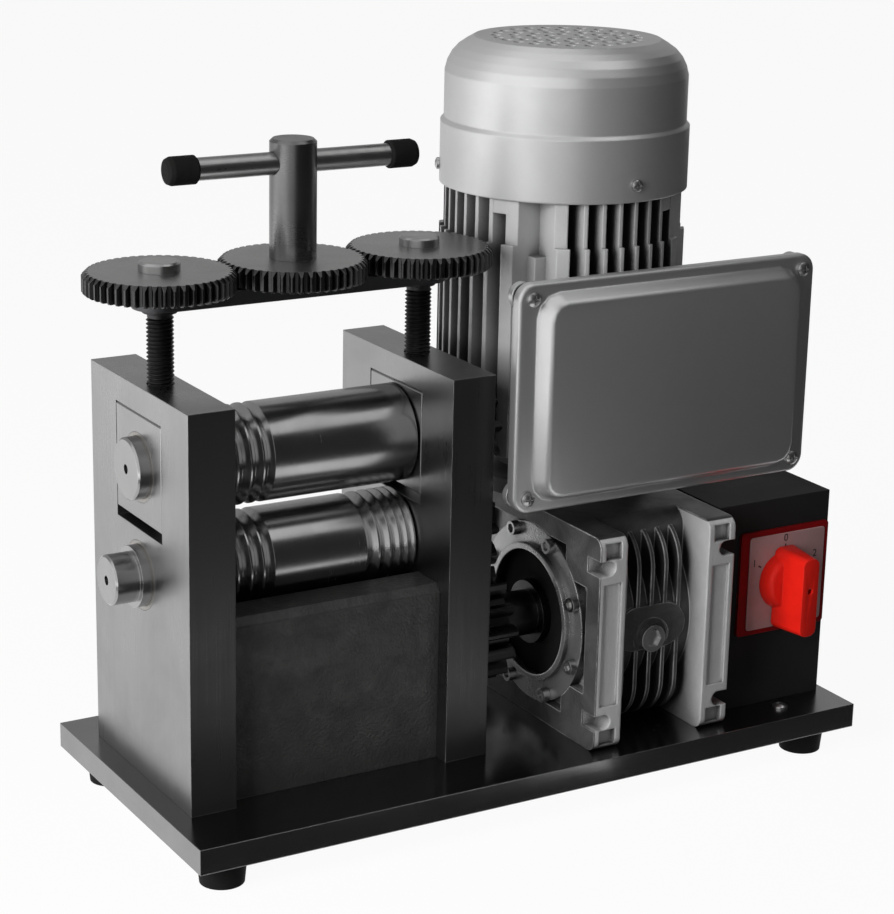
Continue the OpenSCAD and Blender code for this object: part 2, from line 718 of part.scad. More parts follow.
module motor_housing() {
    step_z = rim_z - 24;
    pad_w = 56;
    pad_h = 80;
    pad_z = box_z0 + box_h / 2 - pad_h / 2;
    pad_d = motor_y - pad_y - sqrt(core_r * core_r - pad_w * pad_w / 4) + motor_wall / 2;
    lug_in = core_r * 0.62;
    lug_out = fin_r * 0.7;
    lug_h = 30;
    tab_h = 8;
    tab_in = fin_root(3.5 * fin_pitch);
    boss_d = 12;
    color("#a6a8aa") in_frame() translate([gb_cx, motor_y, 0]) difference() {
        union() {
            translate([0, 0, motor_z]) cylinder(r = core_r, h = housing_top - motor_z);
            translate([0, 0, motor_z + 6]) linear_extrude(rim_z + 3 - motor_z - 6) fin_outline(fin_r + fin_step);
            for (a = [0 : 90 : 270], z = [motor_z + 1, step_z - 6 - lug_h])
                rotate(a) translate([lug_in, lug_in, z]) cube([lug_out - lug_in, lug_out - lug_in, lug_h]);
            translate([0, 0, rim_z - tab_h]) linear_extrude(tab_h) intersection() {
                circle(r = fin_r - 0.2);
                for (a = [0 : 90 : 270])
                    rotate(a) translate([-3.5 * fin_pitch, tab_in]) square([fin_pitch, fin_r - tab_in]);
            }
            for (a = cowl_screw_angles)
                rotate(a) along_x(core_r - 5, 0, cowl_screw_z, boss_d, lug_r - core_r + 5);
            translate([-pad_w / 2, pad_y - motor_y, pad_z]) cube([pad_w, pad_d, pad_h]);
        }
        translate([0, 0, step_z]) ring(4 * fin_r, 2 * fin_r, rim_z - step_z - 0.5);
        translate([0, 0, rim_z - 0.5]) ring(4 * fin_r, 2 * fin_r - 4, 6);
        translate([0, 0, motor_z + shield_t]) cylinder(r = bore_r, h = motor_h + 20);
        translate([0, 0, motor_z - over]) cylinder(d = motor_shaft_d + 6, h = shield_t + 2 * over);
        translate([0, 0, motor_z + shield_t - motor_bearing_w]) cylinder(d = motor_bearing_d + 2 * seat, h = shield_t);
        for (a = cowl_screw_angles)
            rotate(a) along_x(lug_r - 9, 0, cowl_screw_z, m4_d + 2 * seat, 9 + over);
    }
}

module stator_core() {
    stack_h = 78;
    slots = 24;
    inner_r = rotor_r + 0.6;
    color("#6c6e70") in_frame() translate([gb_cx, motor_y, motor_z + 36]) difference() {
        cylinder(r = bore_r - seat, h = stack_h);
        translate([0, 0, -over]) cylinder(r = inner_r, h = stack_h + 2 * over);
        for (a = [0 : 360 / slots : 359])
            rotate(a) translate([inner_r - over, -1.6, -over]) cube([10 + over, 3.2, stack_h + 2 * over]);
    }
}

module rear_shield() {
    shield_z = housing_top - shield_t;
    color("#a6a8aa") in_frame() translate([gb_cx, motor_y, shield_z]) difference() {
        cylinder(r = bore_r - seat, h = shield_t);
        translate([0, 0, -over]) cylinder(d = motor_bearing_d + 2 * seat, h = motor_bearing_w + over);
        cylinder(d = motor_shaft_d + 4, h = shield_t + over);
    }
}

module motor_bearings() {
    color("#c8c8ca") in_frame() for (z = [motor_z + shield_t - motor_bearing_w, housing_top - shield_t])
        translate([gb_cx, motor_y, z]) ring(motor_bearing_d, motor_shaft_d + 2 * slip, motor_bearing_w);
}

// A point along the cowl's shoulder, which swells out between its two ends
shoulder_swell = 2.4;
function shoulder_run() = cowl_r - cowl_step - cowl_top_d / 2 - 3;
function shoulder_point(s, t) = [
    cowl_r - cowl_step - t - shoulder_run() * s + shoulder_swell * 3.2 * s * (1 - s),
    rim_z + cowl_band_h + cowl_upper_h + (cowl_shoulder_h - 2.6 - t) * s + shoulder_swell * 2.4 * s * (1 - s)];

// Outline of the cowl's wall at radius inset t from the outside
function cowl_profile(t) = [
    [cowl_r - t, rim_z],
    [cowl_r - t, rim_z + cowl_band_h - 2],
    [cowl_r - cowl_step - t, rim_z + cowl_band_h],
    [cowl_r - cowl_step - t, rim_z + cowl_band_h + cowl_upper_h],
    shoulder_point(0.25, t),
    shoulder_point(0.5, t),
    shoulder_point(0.75, t),
    [cowl_top_d / 2 + 3 - t, cowl_top - 2.6 - t],
    [cowl_top_d / 2 - 1.5 - t, cowl_top - t]];

module fan_cowl() {
    outside = concat([[0, cowl_top], [0, rim_z]], cowl_profile(0));
    inside = concat([[0, cowl_top - cowl_t], [0, rim_z - over], [cowl_r - cowl_t, rim_z - over]],
        cowl_profile(cowl_t));
    vent_d = 6;
    vent_pitch = 9.6;
    vent_rings = floor((cowl_top_d / 2 - 10) / vent_pitch);
    color("#b6b8ba") in_frame() translate([gb_cx, motor_y, 0]) difference() {
        rotate_extrude() polygon(outside);
        rotate_extrude() polygon(inside);
        for (k = [1 : vent_rings], a = [0 : 60 / k : 359])
            rotate(a + 15 * k) translate([k * vent_pitch, 0, cowl_top - cowl_t - over])
                cylinder(d = vent_d, h = cowl_t + 2 * over);
        for (a = cowl_screw_angles)
            rotate(a) along_x(cowl_r - cowl_t - over, 0, cowl_screw_z, m4_d + 2 * seat, cowl_t + 2 * over);
    }
}

module cowl_screws() {
    color("#c4c4c6") in_frame() for (a = cowl_screw_angles)
        translate([gb_cx, motor_y, cowl_screw_z]) rotate(a) translate([cowl_r, 0, 0]) rotate([0, 90, 0])
            cross_screw(m4_d, m4_head_d - 1, m4_head_h, 9);
}

// Screw places of the capacitor box lid, from the lid's lower left corner
lid_screw_places = [for (x = [boss_inset, box_w - boss_inset], z = [boss_inset, box_h - boss_inset])
    [box_x0 + x, box_z0 + z]];

// Outline of the lid: a rounded rim with a round ear at each screw
module lid_outline(grow) {
    inset = 3 - grow;
    translate([inset, inset]) round_rect(box_w - 2 * inset, box_h - 2 * inset, 6);
    for (x = [boss_inset, box_w - boss_inset], z = [boss_inset, box_h - boss_inset])
        translate([x, z]) circle(d = 2 * boss_inset + 2 * grow);
}

// Outline inside the box's body
module box_outline(inset, r) {
    translate([box_inset_x + inset, box_inset_z + inset])
        round_rect(box_w - 2 * box_inset_x - 2 * inset, box_h - 2 * box_inset_z - 2 * inset, r);
}

module capacitor_box() {
    front = pad_y - box_d;
    color("#9c9ea0") in_frame() difference() {
        union() {
            translate([box_x0, front + box_flange_t, box_z0]) rotate([90, 0, 0])
                linear_extrude(box_flange_t) lid_outline(-1);
            translate([box_x0, pad_y, box_z0]) rotate([90, 0, 0]) linear_extrude(box_d - 1) box_outline(0, 8);
        }
        translate([box_x0, pad_y - box_wall, box_z0]) rotate([90, 0, 0]) linear_extrude(box_d) box_outline(box_wall, 5);
        for (p = lid_screw_places)
            along_y(p[0], front - over, p[1], m4_d + 2 * seat, box_flange_t + 2 * over);
        along_y(gb_cx, pad_y - box_wall - over, box_z0 + box_h / 2, 24, box_wall + 2 * over);
    }
}

module box_gasket() {
    color("#222222") in_frame() translate([box_x0, pad_y - box_d, box_z0]) rotate([90, 0, 0])
        linear_extrude(gasket_t) difference() {
            lid_outline(-1.6);
            box_outline(box_wall, 5);
            for (p = lid_screw_places)
                translate([p[0] - box_x0, p[1] - box_z0]) circle(d = m4_d + 2 * seat);
        }
}

module box_lid() {
    panel_x = 11;
    panel_z = 5.5;
    slope = 5.5;
    inner_x = panel_x + slope + box_wall / 2;
    inner_z = panel_z + slope + box_wall / 2;
    color("#8f9193") in_frame() difference() {
        union() {
            translate([box_x0, lid_y + lid_t, box_z0]) rotate([90, 0, 0]) linear_extrude(lid_t) lid_outline(0);
            hull() {
                translate([box_x0 + panel_x, lid_y + 0.5, box_z0 + panel_z]) rotate([90, 0, 0])
                    linear_extrude(0.5) round_rect(box_w - 2 * panel_x, box_h - 2 * panel_z, 14, $fn = 32);
                translate([box_x0 + panel_x + slope, lid_y, box_z0 + panel_z + slope]) rotate([90, 0, 0])
                    linear_extrude(lid_raise)
                        round_rect(box_w - 2 * panel_x - 2 * slope, box_h - 2 * panel_z - 2 * slope, 9, $fn = 32);
            }
        }
        translate([box_x0 + inner_x, lid_y + lid_t + over, box_z0 + inner_z]) rotate([90, 0, 0])
            linear_extrude(lid_t + over + lid_raise - box_wall)
                round_rect(box_w - 2 * inner_x, box_h - 2 * inner_z, 8, $fn = 32);
        for (p = lid_screw_places)
            along_y(p[0], lid_y - over, p[1], m4_d + 2 * seat, lid_t + 2 * over);
    }
}

module lid_screws() {
    color("#c4c4c6") in_frame() for (p = lid_screw_places)
        translate([p[0], lid_y, p[1]]) rotate([90, 0, 0])
            cross_screw(m4_d, m4_head_d, m4_head_h, lid_t + gasket_t + box_flange_t - 1);
}

module capacitors() {
    can_d = box_d - box_wall - 2;
    can_l = (box_w - 2 * box_inset_x) / 2 - 14;
    z = box_z0 + box_h / 2 + can_d / 2 + 2;
    color("#d8d8d4") in_frame() for (side = [0, 1])
        along_x(box_x0 + box_inset_x + 8 + side * (can_l + 10), pad_y - box_wall - can_d / 2, z,
            can_d - 2 * seat, can_l);
}

module switch_box() {
    panel_y = switch_y;
    hole_d = 40;
    color("#151516") in_frame() difference() {
        translate([switch_x0, panel_y, base_top]) cube([switch_w, switch_box_d, switch_h]);
        translate([switch_x0 + sheet_t, panel_y + sheet_t, base_top - over])
            cube([switch_w - 2 * sheet_t, switch_box_d - 2 * sheet_t, switch_h - sheet_t + over]);
        along_y(plate_x, panel_y - over, plate_z, hole_d, sheet_t + 2 * over);
        along_y(switch_x0 + switch_w / 2, panel_y + switch_box_d - sheet_t - over, gland_z, gland_d + 2 * seat,
            sheet_t + 2 * over);
        for (p = plate_screw_places)
            along_y(p[0], panel_y - over, p[1], m4_d + 2 * seat, sheet_t + 2 * over);
        for (z = side_screw_z)
            along_x(switch_x0 + switch_w - sheet_t - over, switch_y + switch_box_d / 2, z, m4_d + 2 * seat,
                sheet_t + 2 * over);
    }
}

gland_d = 16;
gland_z = base_top + 30;
side_screw_z = [base_top + 9];
plate_screw_places = [for (x = [-1, 1], z = [-1, 1]) [plate_x + x * (plate_w / 2 - 8), plate_z + z * (plate_w / 2 - 8)]];

// Screw in the side of the switch box and the bracket on the base that it holds to
module switch_box_screws() {
    wall_x = switch_x0 + switch_w;
    bracket_t = 8;
    y = switch_y + switch_box_d / 2;
    color("#77797b") in_frame() for (z = side_screw_z) {
        translate([wall_x, y, z]) rotate([0, 90, 0]) cross_screw(m4_d, m4_head_d, m4_head_h, sheet_t + bracket_t + 4);
        difference() {
            translate([wall_x - sheet_t - bracket_t, y - 10, base_top]) cube([bracket_t, 20, 18]);
            along_x(wall_x - sheet_t - bracket_t - over, y, z, m4_d + 2 * seat, bracket_t + 2 * over);
        }
    }
}

module switch_plate() {
    color("#b8201c") in_frame() difference() {
        translate([plate_x - plate_w / 2, switch_y, plate_z - plate_w / 2]) rotate([90, 0, 0])
            linear_extrude(plate_t) round_rect(plate_w, plate_w, 2);
        along_y(plate_x, switch_y - plate_t - over, plate_z, spindle_d + 6, plate_t + 2 * over);
        for (p = plate_screw_places)
            along_y(p[0], switch_y - plate_t - over, p[1], m4_d + 2 * seat, plate_t + 2 * over);
    }
}

module plate_screws() {
    color("#5a5a5c") in_frame() for (p = plate_screw_places)
        translate([p[0], switch_y - plate_t, p[1]]) rotate([90, 0, 0])
            cross_screw(m4_d, m4_head_d - 1.5, 1.2, plate_t + sheet_t + 6);
}

module switch_body() {
    body_w = 48;
    body_l = 46;
    y0 = switch_y + sheet_t;
    color("#d8d4c8") in_frame() difference() {
        translate([plate_x - body_w / 2, y0, plate_z - body_w / 2]) cube([body_w, body_l, body_w]);
        along_y(plate_x, y0 - over, plate_z, spindle_d + 2 * slip, body_l / 2 + over);
        for (p = plate_screw_places)
            along_y(p[0], y0 - over, p[1], m4_d + 2 * seat, 8 + over);
    }
}

module cable_gland() {
    bore_d = 9;
    nut_d = 22;
    back = switch_y + switch_box_d;
    x = switch_x0 + switch_w / 2;
    color("#1e1e20") in_frame() difference() {
        union() {
            along_y(x, back - 8, gland_z, gland_d, 12);
            translate([x, back, gland_z]) rotate([-90, 0, 0]) cylinder(d = nut_d, h = 6, $fn = 6);
            translate([x, back + 6, gland_z]) rotate([-90, 0, 0]) cylinder(d1 = nut_d - 3, d2 = bore_d + 5, h = 10);
            translate([x, back - sheet_t - 4, gland_z]) rotate([-90, 0, 0]) cylinder(d = nut_d, h = 4, $fn = 6);
        }
        along_y(x, back - 8 - over, gland_z, bore_d, 24 + 2 * over);
    }
}

module yoke_bar() {
    yoke_l = 2 * gear_pd + yoke_w;
    color("#2a2a2c") in_frame() difference() {
        translate([screw_x[0] - yoke_w / 2, roll_y - yoke_w / 2, yoke_z]) linear_extrude(yoke_t)
            round_rect(yoke_l, yoke_w, yoke_w / 2 - 0.01);
        for (x = screw_x)
            translate([x, roll_y, yoke_z - over]) cylinder(d = neck_d + 2 * slip, h = yoke_t + 2 * over);
        translate([post_x, roll_y, yoke_z - over]) cylinder(d = pivot_d + 2 * slip, h = yoke_t + 2 * over);
    }
}

module adjusting_gear(x, bore_d) {
    tip = adj_module * (adj_teeth / 2 + 1) + seat;
    bevel = 1.6 * adj_module;
    translate([x, roll_y, gear_z]) intersection() {
        linear_extrude(adj_gear_t) difference() {
            polygon(gear_outline(adj_module, adj_teeth, adj_pressure, adj_backlash, 2));
            circle(d = bore_d);
        }
        rotate_extrude() polygon([[0, 0], [tip - bevel / 2, 0], [tip, bevel / 2], [tip, adj_gear_t - bevel],
            [tip - bevel, adj_gear_t], [0, adj_gear_t]]);
    }
}

module centre_gear() {
    color("#3a3a3c") in_frame() adjusting_gear(post_x, pivot_d + 2 * seat);
}

module left_gear() {
    color("#3a3a3c") in_frame() adjusting_gear(screw_x[0], neck_d + 2 * seat);
}

module right_gear() {
    color("#3a3a3c") in_frame() adjusting_gear(screw_x[1], neck_d + 2 * seat);
}

module handle_post() {
    bevel = 1.5;
    profile = [[0, -adj_gear_t - face_gap - yoke_t], [pivot_d / 2, -adj_gear_t - face_gap - yoke_t], [pivot_d / 2, 0],
        [post_d / 2, 0], [post_d / 2, post_h - bevel], [post_d / 2 - bevel, post_h], [0, post_h]];
    color("#38383a") in_frame() difference() {
        translate([post_x, roll_y, gear_top]) rotate_extrude() polygon(profile);
        along_x(post_x - post_d, roll_y, gear_top + bar_h, bar_d + 2 * seat, 2 * post_d);
    }
}

module cross_bar() {
    wall = 2;
    color("#8c8c8e") in_frame() along_x(post_x - bar_l / 2 + wall, roll_y, gear_top + bar_h, bar_d, bar_l - 2 * wall);
}

module bar_caps() {
    wall = 2;
    round_end = 3;
    profile = [[0, 0], [cap_d / 2 - round_end, 0], [cap_d / 2 - 0.9, 0.9], [cap_d / 2, round_end],
        [cap_d / 2, cap_l - 1], [cap_d / 2 - 1, cap_l], [bar_d / 2 + seat, cap_l], [bar_d / 2 + seat, wall], [0, wall]];
    color("#1a1a1b") in_frame() for (side = [-1, 1])
        translate([post_x + side * bar_l / 2, roll_y, gear_top + bar_h]) rotate([0, -side * 90, 0])
            rotate_extrude() polygon(profile);
}

// Adjusting screw: tip in the bearing block, collar under the yoke, neck through yoke and gear
module adjusting_screw(x) {
    foot = chock_top + face_gap;
    collar_z = yoke_z - face_gap - collar_t;
    profile = [[0, foot - tip_l], [tip_d / 2, foot - tip_l], [tip_d / 2, foot], [screw_d / 2, foot],
        [screw_d / 2, collar_z], [collar_d / 2, collar_z], [collar_d / 2, collar_z + collar_t],
        [neck_d / 2, collar_z + collar_t], [neck_d / 2, gear_top + gear_nut_h - 2], [0, gear_top + gear_nut_h - 2]];
    translate([x, roll_y, 0]) rotate_extrude() polygon(profile);
}

module left_screw() {
    color("#4c4c4e") in_frame() adjusting_screw(screw_x[0]);
}

module right_screw() {
    color("#4c4c4e") in_frame() adjusting_screw(screw_x[1]);
}

module gear_nut(x) {
    bevel = 1;
    bore = neck_d / 2 + seat;
    cap = gear_nut_h - 2 + seat;
    profile = [[bore, 0], [gear_nut_d / 2, 0], [gear_nut_d / 2, gear_nut_h - bevel],
        [gear_nut_d / 2 - bevel, gear_nut_h], [0, gear_nut_h], [0, cap], [bore, cap]];
    translate([x, roll_y, gear_top]) rotate_extrude() polygon(profile);
}

module left_gear_nut() {
    color("#a8a8aa") in_frame() gear_nut(screw_x[0]);
}

module right_gear_nut() {
    color("#a8a8aa") in_frame() gear_nut(screw_x[1]);
}

// A square block along z with two edges of each end face chamfered, then with all four
module half_chamfered_block(w, h, c) {
    translate([-w / 2, 0, 0]) rotate([90, 0, 90]) linear_extrude(w)
        polygon([[-w / 2, c - h / 2], [c - w / 2, -h / 2], [w / 2 - c, -h / 2], [w / 2, c - h / 2],
            [w / 2, h / 2 - c], [w / 2 - c, h / 2], [c - w / 2, h / 2], [-w / 2, h / 2 - c]]);
}

module chamfered_block(w, h, c) {
    intersection() {
        half_chamfered_block(w, h, c);
        rotate(90) half_chamfered_block(w, h, c);
    }
}

module chock(x0) {
    difference() {
        translate([x0 + upright_t / 2, roll_y, up_z]) rotate([0, 90, 0]) chamfered_block(chock_w, upright_t, 0.8);
        along_x(x0 - over, roll_y, up_z, bush_d + 2 * seat, upright_t + 2 * over);
        translate([x0 + upright_t / 2, roll_y, chock_top - tip_l]) cylinder(d = tip_d + 2 * slip, h = tip_l + over);
    }
}

module left_chock() {
    color("#565658") in_frame() chock(left_x0);
}

module right_chock() {
    color("#565658") in_frame() chock(right_x0);
}

module upper_bushes() {
    color("#a07840") in_frame() for (x = [left_x0, right_x0])
        ring_x(x, roll_y, up_z, bush_d, journal_d + 2 * slip, upright_t);
}

// Half outline of a roll's V-shaped wire grooves, counted from its end: each is wider than the last by growth
function groove_start(w, growth, i) = groove_land * (i + 1) + w * (1 - pow(growth, i)) / (1 - growth);
function groove_points(w, growth) = [for (i = [0 : groove_count - 1])
    let (x = groove_start(w, growth, i), wide = w * pow(growth, i))
    each [[x, roll_d / 2], [x + wide / 2, roll_d / 2 - wide / 2], [x + wide, roll_d / 2]]];
function reversed(list) = [for (i = [len(list) - 1 : -1 : 0]) list[i]];
grooves_left = groove_points(left_groove_w, 0.93);
grooves_right = [for (p = reversed(groove_points(right_groove_w, 1.2))) [roll_l - p[0], p[1]]];

// Roll along X: left is the list of points of its left shaft end, gear_end is where its gear seat ends
module roll_solid(z, left, body, gear_end) {
    seat_d = journal_d - 4;
    right = [[roll_l, journal_d / 2], [roll_gear_x - roll_x0, journal_d / 2], [roll_gear_x - roll_x0, seat_d / 2],
        [gear_end - roll_x0, seat_d / 2], [gear_end - roll_x0, 0]];
    outline = concat(left, [[0, journal_d / 2], [0, roll_d / 2]], body, [[roll_l, roll_d / 2]], right);
    translate([roll_x0, roll_y, z]) rotate([0, 90, 0]) rotate_extrude()
        polygon([for (p = outline) [p[1], p[0]]]);
}

module centre_drill(x, z) {
    along_x(x - over, roll_y, z, centre_hole_d, 4 + over);
}

module upper_roll() {
    end = left_x0 - upper_stub - roll_x0;
    left = [[end, 0], [end, journal_d / 2 - 1], [end + 1, journal_d / 2]];
    color("#c9c9cb") in_frame() difference() {
        roll_solid(up_z, left, grooves_left, roll_gear_x + roll_gear_w);
        centre_drill(left_x0 - upper_stub, up_z);
    }
}

module lower_roll() {
    collar = left_x0 - lower_collar - roll_x0;
    end = collar - stub_l;
    left = [[end, 0], [end, stub_d / 2 - 1], [end + 1, stub_d / 2], [collar, stub_d / 2], [collar, journal_d / 2]];
    color("#c9c9cb") in_frame() difference() {
        roll_solid(low_z, left, concat(grooves_left, grooves_right), roll_gear_x + roll_gear_w);
        centre_drill(roll_x0 + end, low_z);
    }
}

// Spur gear along X with its tooth at the given angle in the YZ plane
module spur_x(x0, y, z, teeth, angle, bore_d, w) {
    translate([x0, y, z]) rotate([angle, 0, 0]) rotate([90, 0, 90]) difference() {
        linear_extrude(w) polygon(gear_outline(roll_module, teeth, roll_pressure, roll_backlash, 4));
        translate([0, 0, -over]) cylinder(d = bore_d, h = w + 2 * over);
    }
}

module upper_roll_gear() {
    color("#4a4a4c") in_frame()
        spur_x(roll_gear_x, roll_y, up_z, roll_teeth, 90, journal_d - 4 + 2 * seat, roll_gear_w);
}

module lower_roll_gear() {
    color("#4a4a4c") in_frame()
        spur_x(roll_gear_x, roll_y, low_z, roll_teeth, 90, journal_d - 4 + 2 * seat, roll_gear_w);
}

module drive_gear() {
    color("#4a4a4c") in_frame()
        spur_x(roll_gear_x, out_y, out_z, drive_teeth, drive_phase, shaft_d + 2 * seat, roll_gear_w);
}

module output_shaft() {
    hub_x0 = gb_x0 - 3.5 - roll_gear_x;
    hub_x1 = bearing_x[1] + bearing_w - roll_gear_x;
    profile = [[0, 0], [0, shaft_d / 2], [hub_x0, shaft_d / 2], [hub_x0, hub_d / 2], [hub_x1, hub_d / 2], [hub_x1, 0]];
    color("#b0b0b2") in_frame() translate([roll_gear_x, out_y, out_z]) rotate([0, 90, 0]) rotate_extrude()
        polygon([for (p = profile) [p[1], p[0]]]);
}

wheel_w = 10;

module worm_wheel() {
    hub_w = bearing_x[1] - bearing_x[0] - bearing_w - 4;
    x0 = gb_cx - wheel_w / 2;
    hub_x0 = bearing_x[0] + bearing_w + 2;
    color("#b08d3c") in_frame() difference() {
        union() {
            translate([x0, out_y, out_z]) rotate([90, 0, 90]) linear_extrude(wheel_w)
                rotate(180 / wheel_teeth) polygon(gear_outline(wheel_module, wheel_teeth, 20, 2 * tooth_thin, 2));
            along_x(hub_x0, out_y, out_z, hub_d + 12, hub_w);
        }
        along_x(hub_x0 - over, out_y, out_z, hub_d + 2 * seat, hub_w + 2 * over);
    }
}

// Single-start right-hand worm: the section turns once in each lead
worm_tip_r = worm_pd / 2 + wheel_module;
worm_root_r = worm_pd / 2 - 1.25 * wheel_module;
function worm_half(r) = (worm_lead / 2 - tooth_thin) / 2 - (r - worm_pd / 2) * tan(20);
function worm_point(r, side) = polar(r, side * worm_half(r) / worm_lead * 360);
worm_flank = [for (i = [0 : 3]) worm_root_r + (worm_tip_r - worm_root_r) * i / 3];
worm_root_a = worm_half(worm_root_r) / worm_lead * 360;
worm_section = concat(
    [for (r = worm_flank) worm_point(r, -1)],
    [for (r = reversed(worm_flank)) worm_point(r, 1)],
    [for (i = [1 : 5]) polar(worm_root_r, worm_root_a + (360 - 2 * worm_root_a) * i / 6)]);

module worm() {
    thread_l = 34;
    thread_z = out_z - thread_l / 2;
    bottom = worm_bearing_z[0];
    color("#9c9c9e") in_frame() translate([gb_cx, motor_y, 0]) {
        translate([0, 0, thread_z]) rotate(-90 - 360 * (out_z - thread_z) / worm_lead)
            linear_extrude(thread_l, twist = -360 * thread_l / worm_lead, slices = 44, $fn = 13) polygon(worm_section);
        difference() {
            union() {
                translate([0, 0, bottom]) cylinder(d = worm_journal_d, h = thread_z - bottom);
                translate([0, 0, thread_z + thread_l]) cylinder(d = worm_journal_d, h = worm_top - thread_z - thread_l);
            }
            translate([0, 0, worm_top - worm_socket_l])
                cylinder(d = motor_shaft_d + 2 * seat, h = worm_socket_l + over);
        }
    }
}

fan_z = housing_top + 6;
fan_h = 22;
rotor_r = 28;

module motor_shaft() {
    bottom = worm_top - worm_socket_l;
    top = fan_z + fan_h;
    color("#b4b4b6") in_frame() translate([gb_cx, motor_y, bottom]) cylinder(d = motor_shaft_d, h = top - bottom);
}

module rotor_core() {
    core_h = 78;
    color("#8a8c8e") in_frame() translate([gb_cx, motor_y, motor_z + 36]) ring(2 * rotor_r, motor_shaft_d + 2 * seat, core_h);
}

module cooling_fan() {
    tip_r = cowl_r - 12;
    blades = 7;
    hub_r = motor_shaft_d / 2 + 7;
    color("#202022") in_frame() translate([gb_cx, motor_y, fan_z]) difference() {
        union() {
            cylinder(r = hub_r, h = fan_h);
            translate([0, 0, 2]) cylinder(r = tip_r - 6, h = 2.5);
            for (a = [0 : blades - 1])
                rotate(a * 360 / blades) translate([hub_r - 3, -1.2, 1]) cube([tip_r - hub_r + 3, 2.4, fan_h - 2]);
        }
        translate([0, 0, -over]) cylinder(d = motor_shaft_d + 2 * seat, h = fan_h + 2 * over);
    }
}

module switch_knob() {
    skirt_y = switch_y - plate_t - face_gap;
    grip_t = 12;
    color("#e0241a") in_frame() {
        along_y(plate_x, skirt_y - knob_base_t, plate_z, knob_d, knob_base_t);
        along_y(plate_x, skirt_y - over, plate_z, spindle_d, plate_t + sheet_t + 16);
        translate([plate_x - grip_t / 2, skirt_y - 1, plate_z - grip_l / 2 - grip_drop]) rotate([90, 0, 0])
            linear_extrude(knob_reach - 1) round_rect(grip_t, grip_l, grip_t / 2 - 0.01);
    }
}

base_plate();
rubber_feet();
foot_screws();
earth_screw();
left_upright();
right_upright();
bed_block();
base_bolts();
lower_bushes();
gearbox_housing();
gearbox_cover();
cover_screws();
oil_seal();
oil_plug();
gearbox_bearings();
motor_flange();
flange_bolts();
motor_housing();
stator_core();
rear_shield();
motor_bearings();
fan_cowl();
cowl_screws();
capacitor_box();
box_gasket();
box_lid();
lid_screws();
capacitors();
switch_box();
switch_box_screws();
switch_plate();
plate_screws();
switch_body();
cable_gland();
yoke_bar();
centre_gear();
handle_post();
cross_bar();
bar_caps();
left_screw();
left_gear();
left_gear_nut();
right_screw();
right_gear();
right_gear_nut();
left_chock();
right_chock();
upper_bushes();
upper_roll();
upper_roll_gear();
lower_roll();
lower_roll_gear();
output_shaft();
drive_gear();
worm_wheel();
worm();
motor_shaft();
rotor_core();
cooling_fan();
switch_knob();
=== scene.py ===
# %% [markdown]
# # A two-roll bench mill, dressed for its picture
# The solid model already has every casting, gear, roll and screw in its real
# place and size. This lesson loads it as a fixed frame, gives each finish a
# procedural material, and models by hand the few pieces whose charm is in
# their small forms: the cut threads, the moulded knob, the printed dial and
# the pressed lid.

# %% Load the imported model
import bpy
import math
from mathutils import Matrix, Vector


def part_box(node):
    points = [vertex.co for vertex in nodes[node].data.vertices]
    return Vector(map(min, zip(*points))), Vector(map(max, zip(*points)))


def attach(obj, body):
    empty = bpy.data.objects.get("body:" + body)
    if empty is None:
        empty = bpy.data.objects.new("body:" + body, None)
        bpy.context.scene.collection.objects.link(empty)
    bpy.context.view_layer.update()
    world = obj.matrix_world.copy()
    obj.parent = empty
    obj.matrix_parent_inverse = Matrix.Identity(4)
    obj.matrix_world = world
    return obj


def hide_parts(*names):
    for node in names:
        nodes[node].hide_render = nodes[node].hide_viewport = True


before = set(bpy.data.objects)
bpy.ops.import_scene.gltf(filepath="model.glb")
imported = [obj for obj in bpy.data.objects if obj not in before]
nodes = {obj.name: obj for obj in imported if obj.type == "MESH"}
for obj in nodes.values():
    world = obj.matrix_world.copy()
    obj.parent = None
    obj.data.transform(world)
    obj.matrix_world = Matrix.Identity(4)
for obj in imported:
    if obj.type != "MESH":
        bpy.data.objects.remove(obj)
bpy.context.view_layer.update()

print("nodes loaded:", len(nodes))

# %% [markdown]
# Sizes in this file are written in the maker's own millimetres, measured from
# the front left corner of the base plate on the bench. `at` turns such a place
# into the metres of the model, so that a number here can be checked with a
# ruler on the real machine.

# %% Places in millimetres
base_low, base_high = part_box("base_plate")
corner = Vector((base_low.x, base_low.y, 0.0))
MM = 0.001


def at(x, y, z):
    return Vector((x * MM, y * MM, z * MM)) + corner


print("base plate is", round((base_high.x - base_low.x) / MM), "mm long")

# %% [markdown]
# The camera comes first, because everything after it is judged through it.
# Its place was found by fitting the corners of the base, the uprights and the
# motor to the picture. A matrix built from three directions is exact, where
# turning an object by three angles by eye is not.

# %% The camera
camera_data = bpy.data.cameras.new("bench_camera")
camera = bpy.data.objects.new("bench_camera", camera_data)
bpy.context.scene.collection.objects.link(camera)
camera_data.sensor_fit = "VERTICAL"
camera_data.sensor_height = 36.0
camera_data.lens = 98.56
camera_data.clip_end = 50.0
right_way = Vector((0.8627, -0.5053, 0.0209)).normalized()
back_way = Vector((-0.4893, -0.8234, 0.2875)).normalized()
up_way = back_way.cross(right_way).normalized()
right_way = up_way.cross(back_way).normalized()
turn = Matrix((right_way, up_way, back_way)).transposed().to_4x4()
camera_place = at(-466.46, -1011.11, 563.82)
camera.matrix_world = Matrix.Translation(camera_place) @ turn
bpy.context.scene.camera = camera
print("camera stands", round(camera.location.length, 2), "m away")

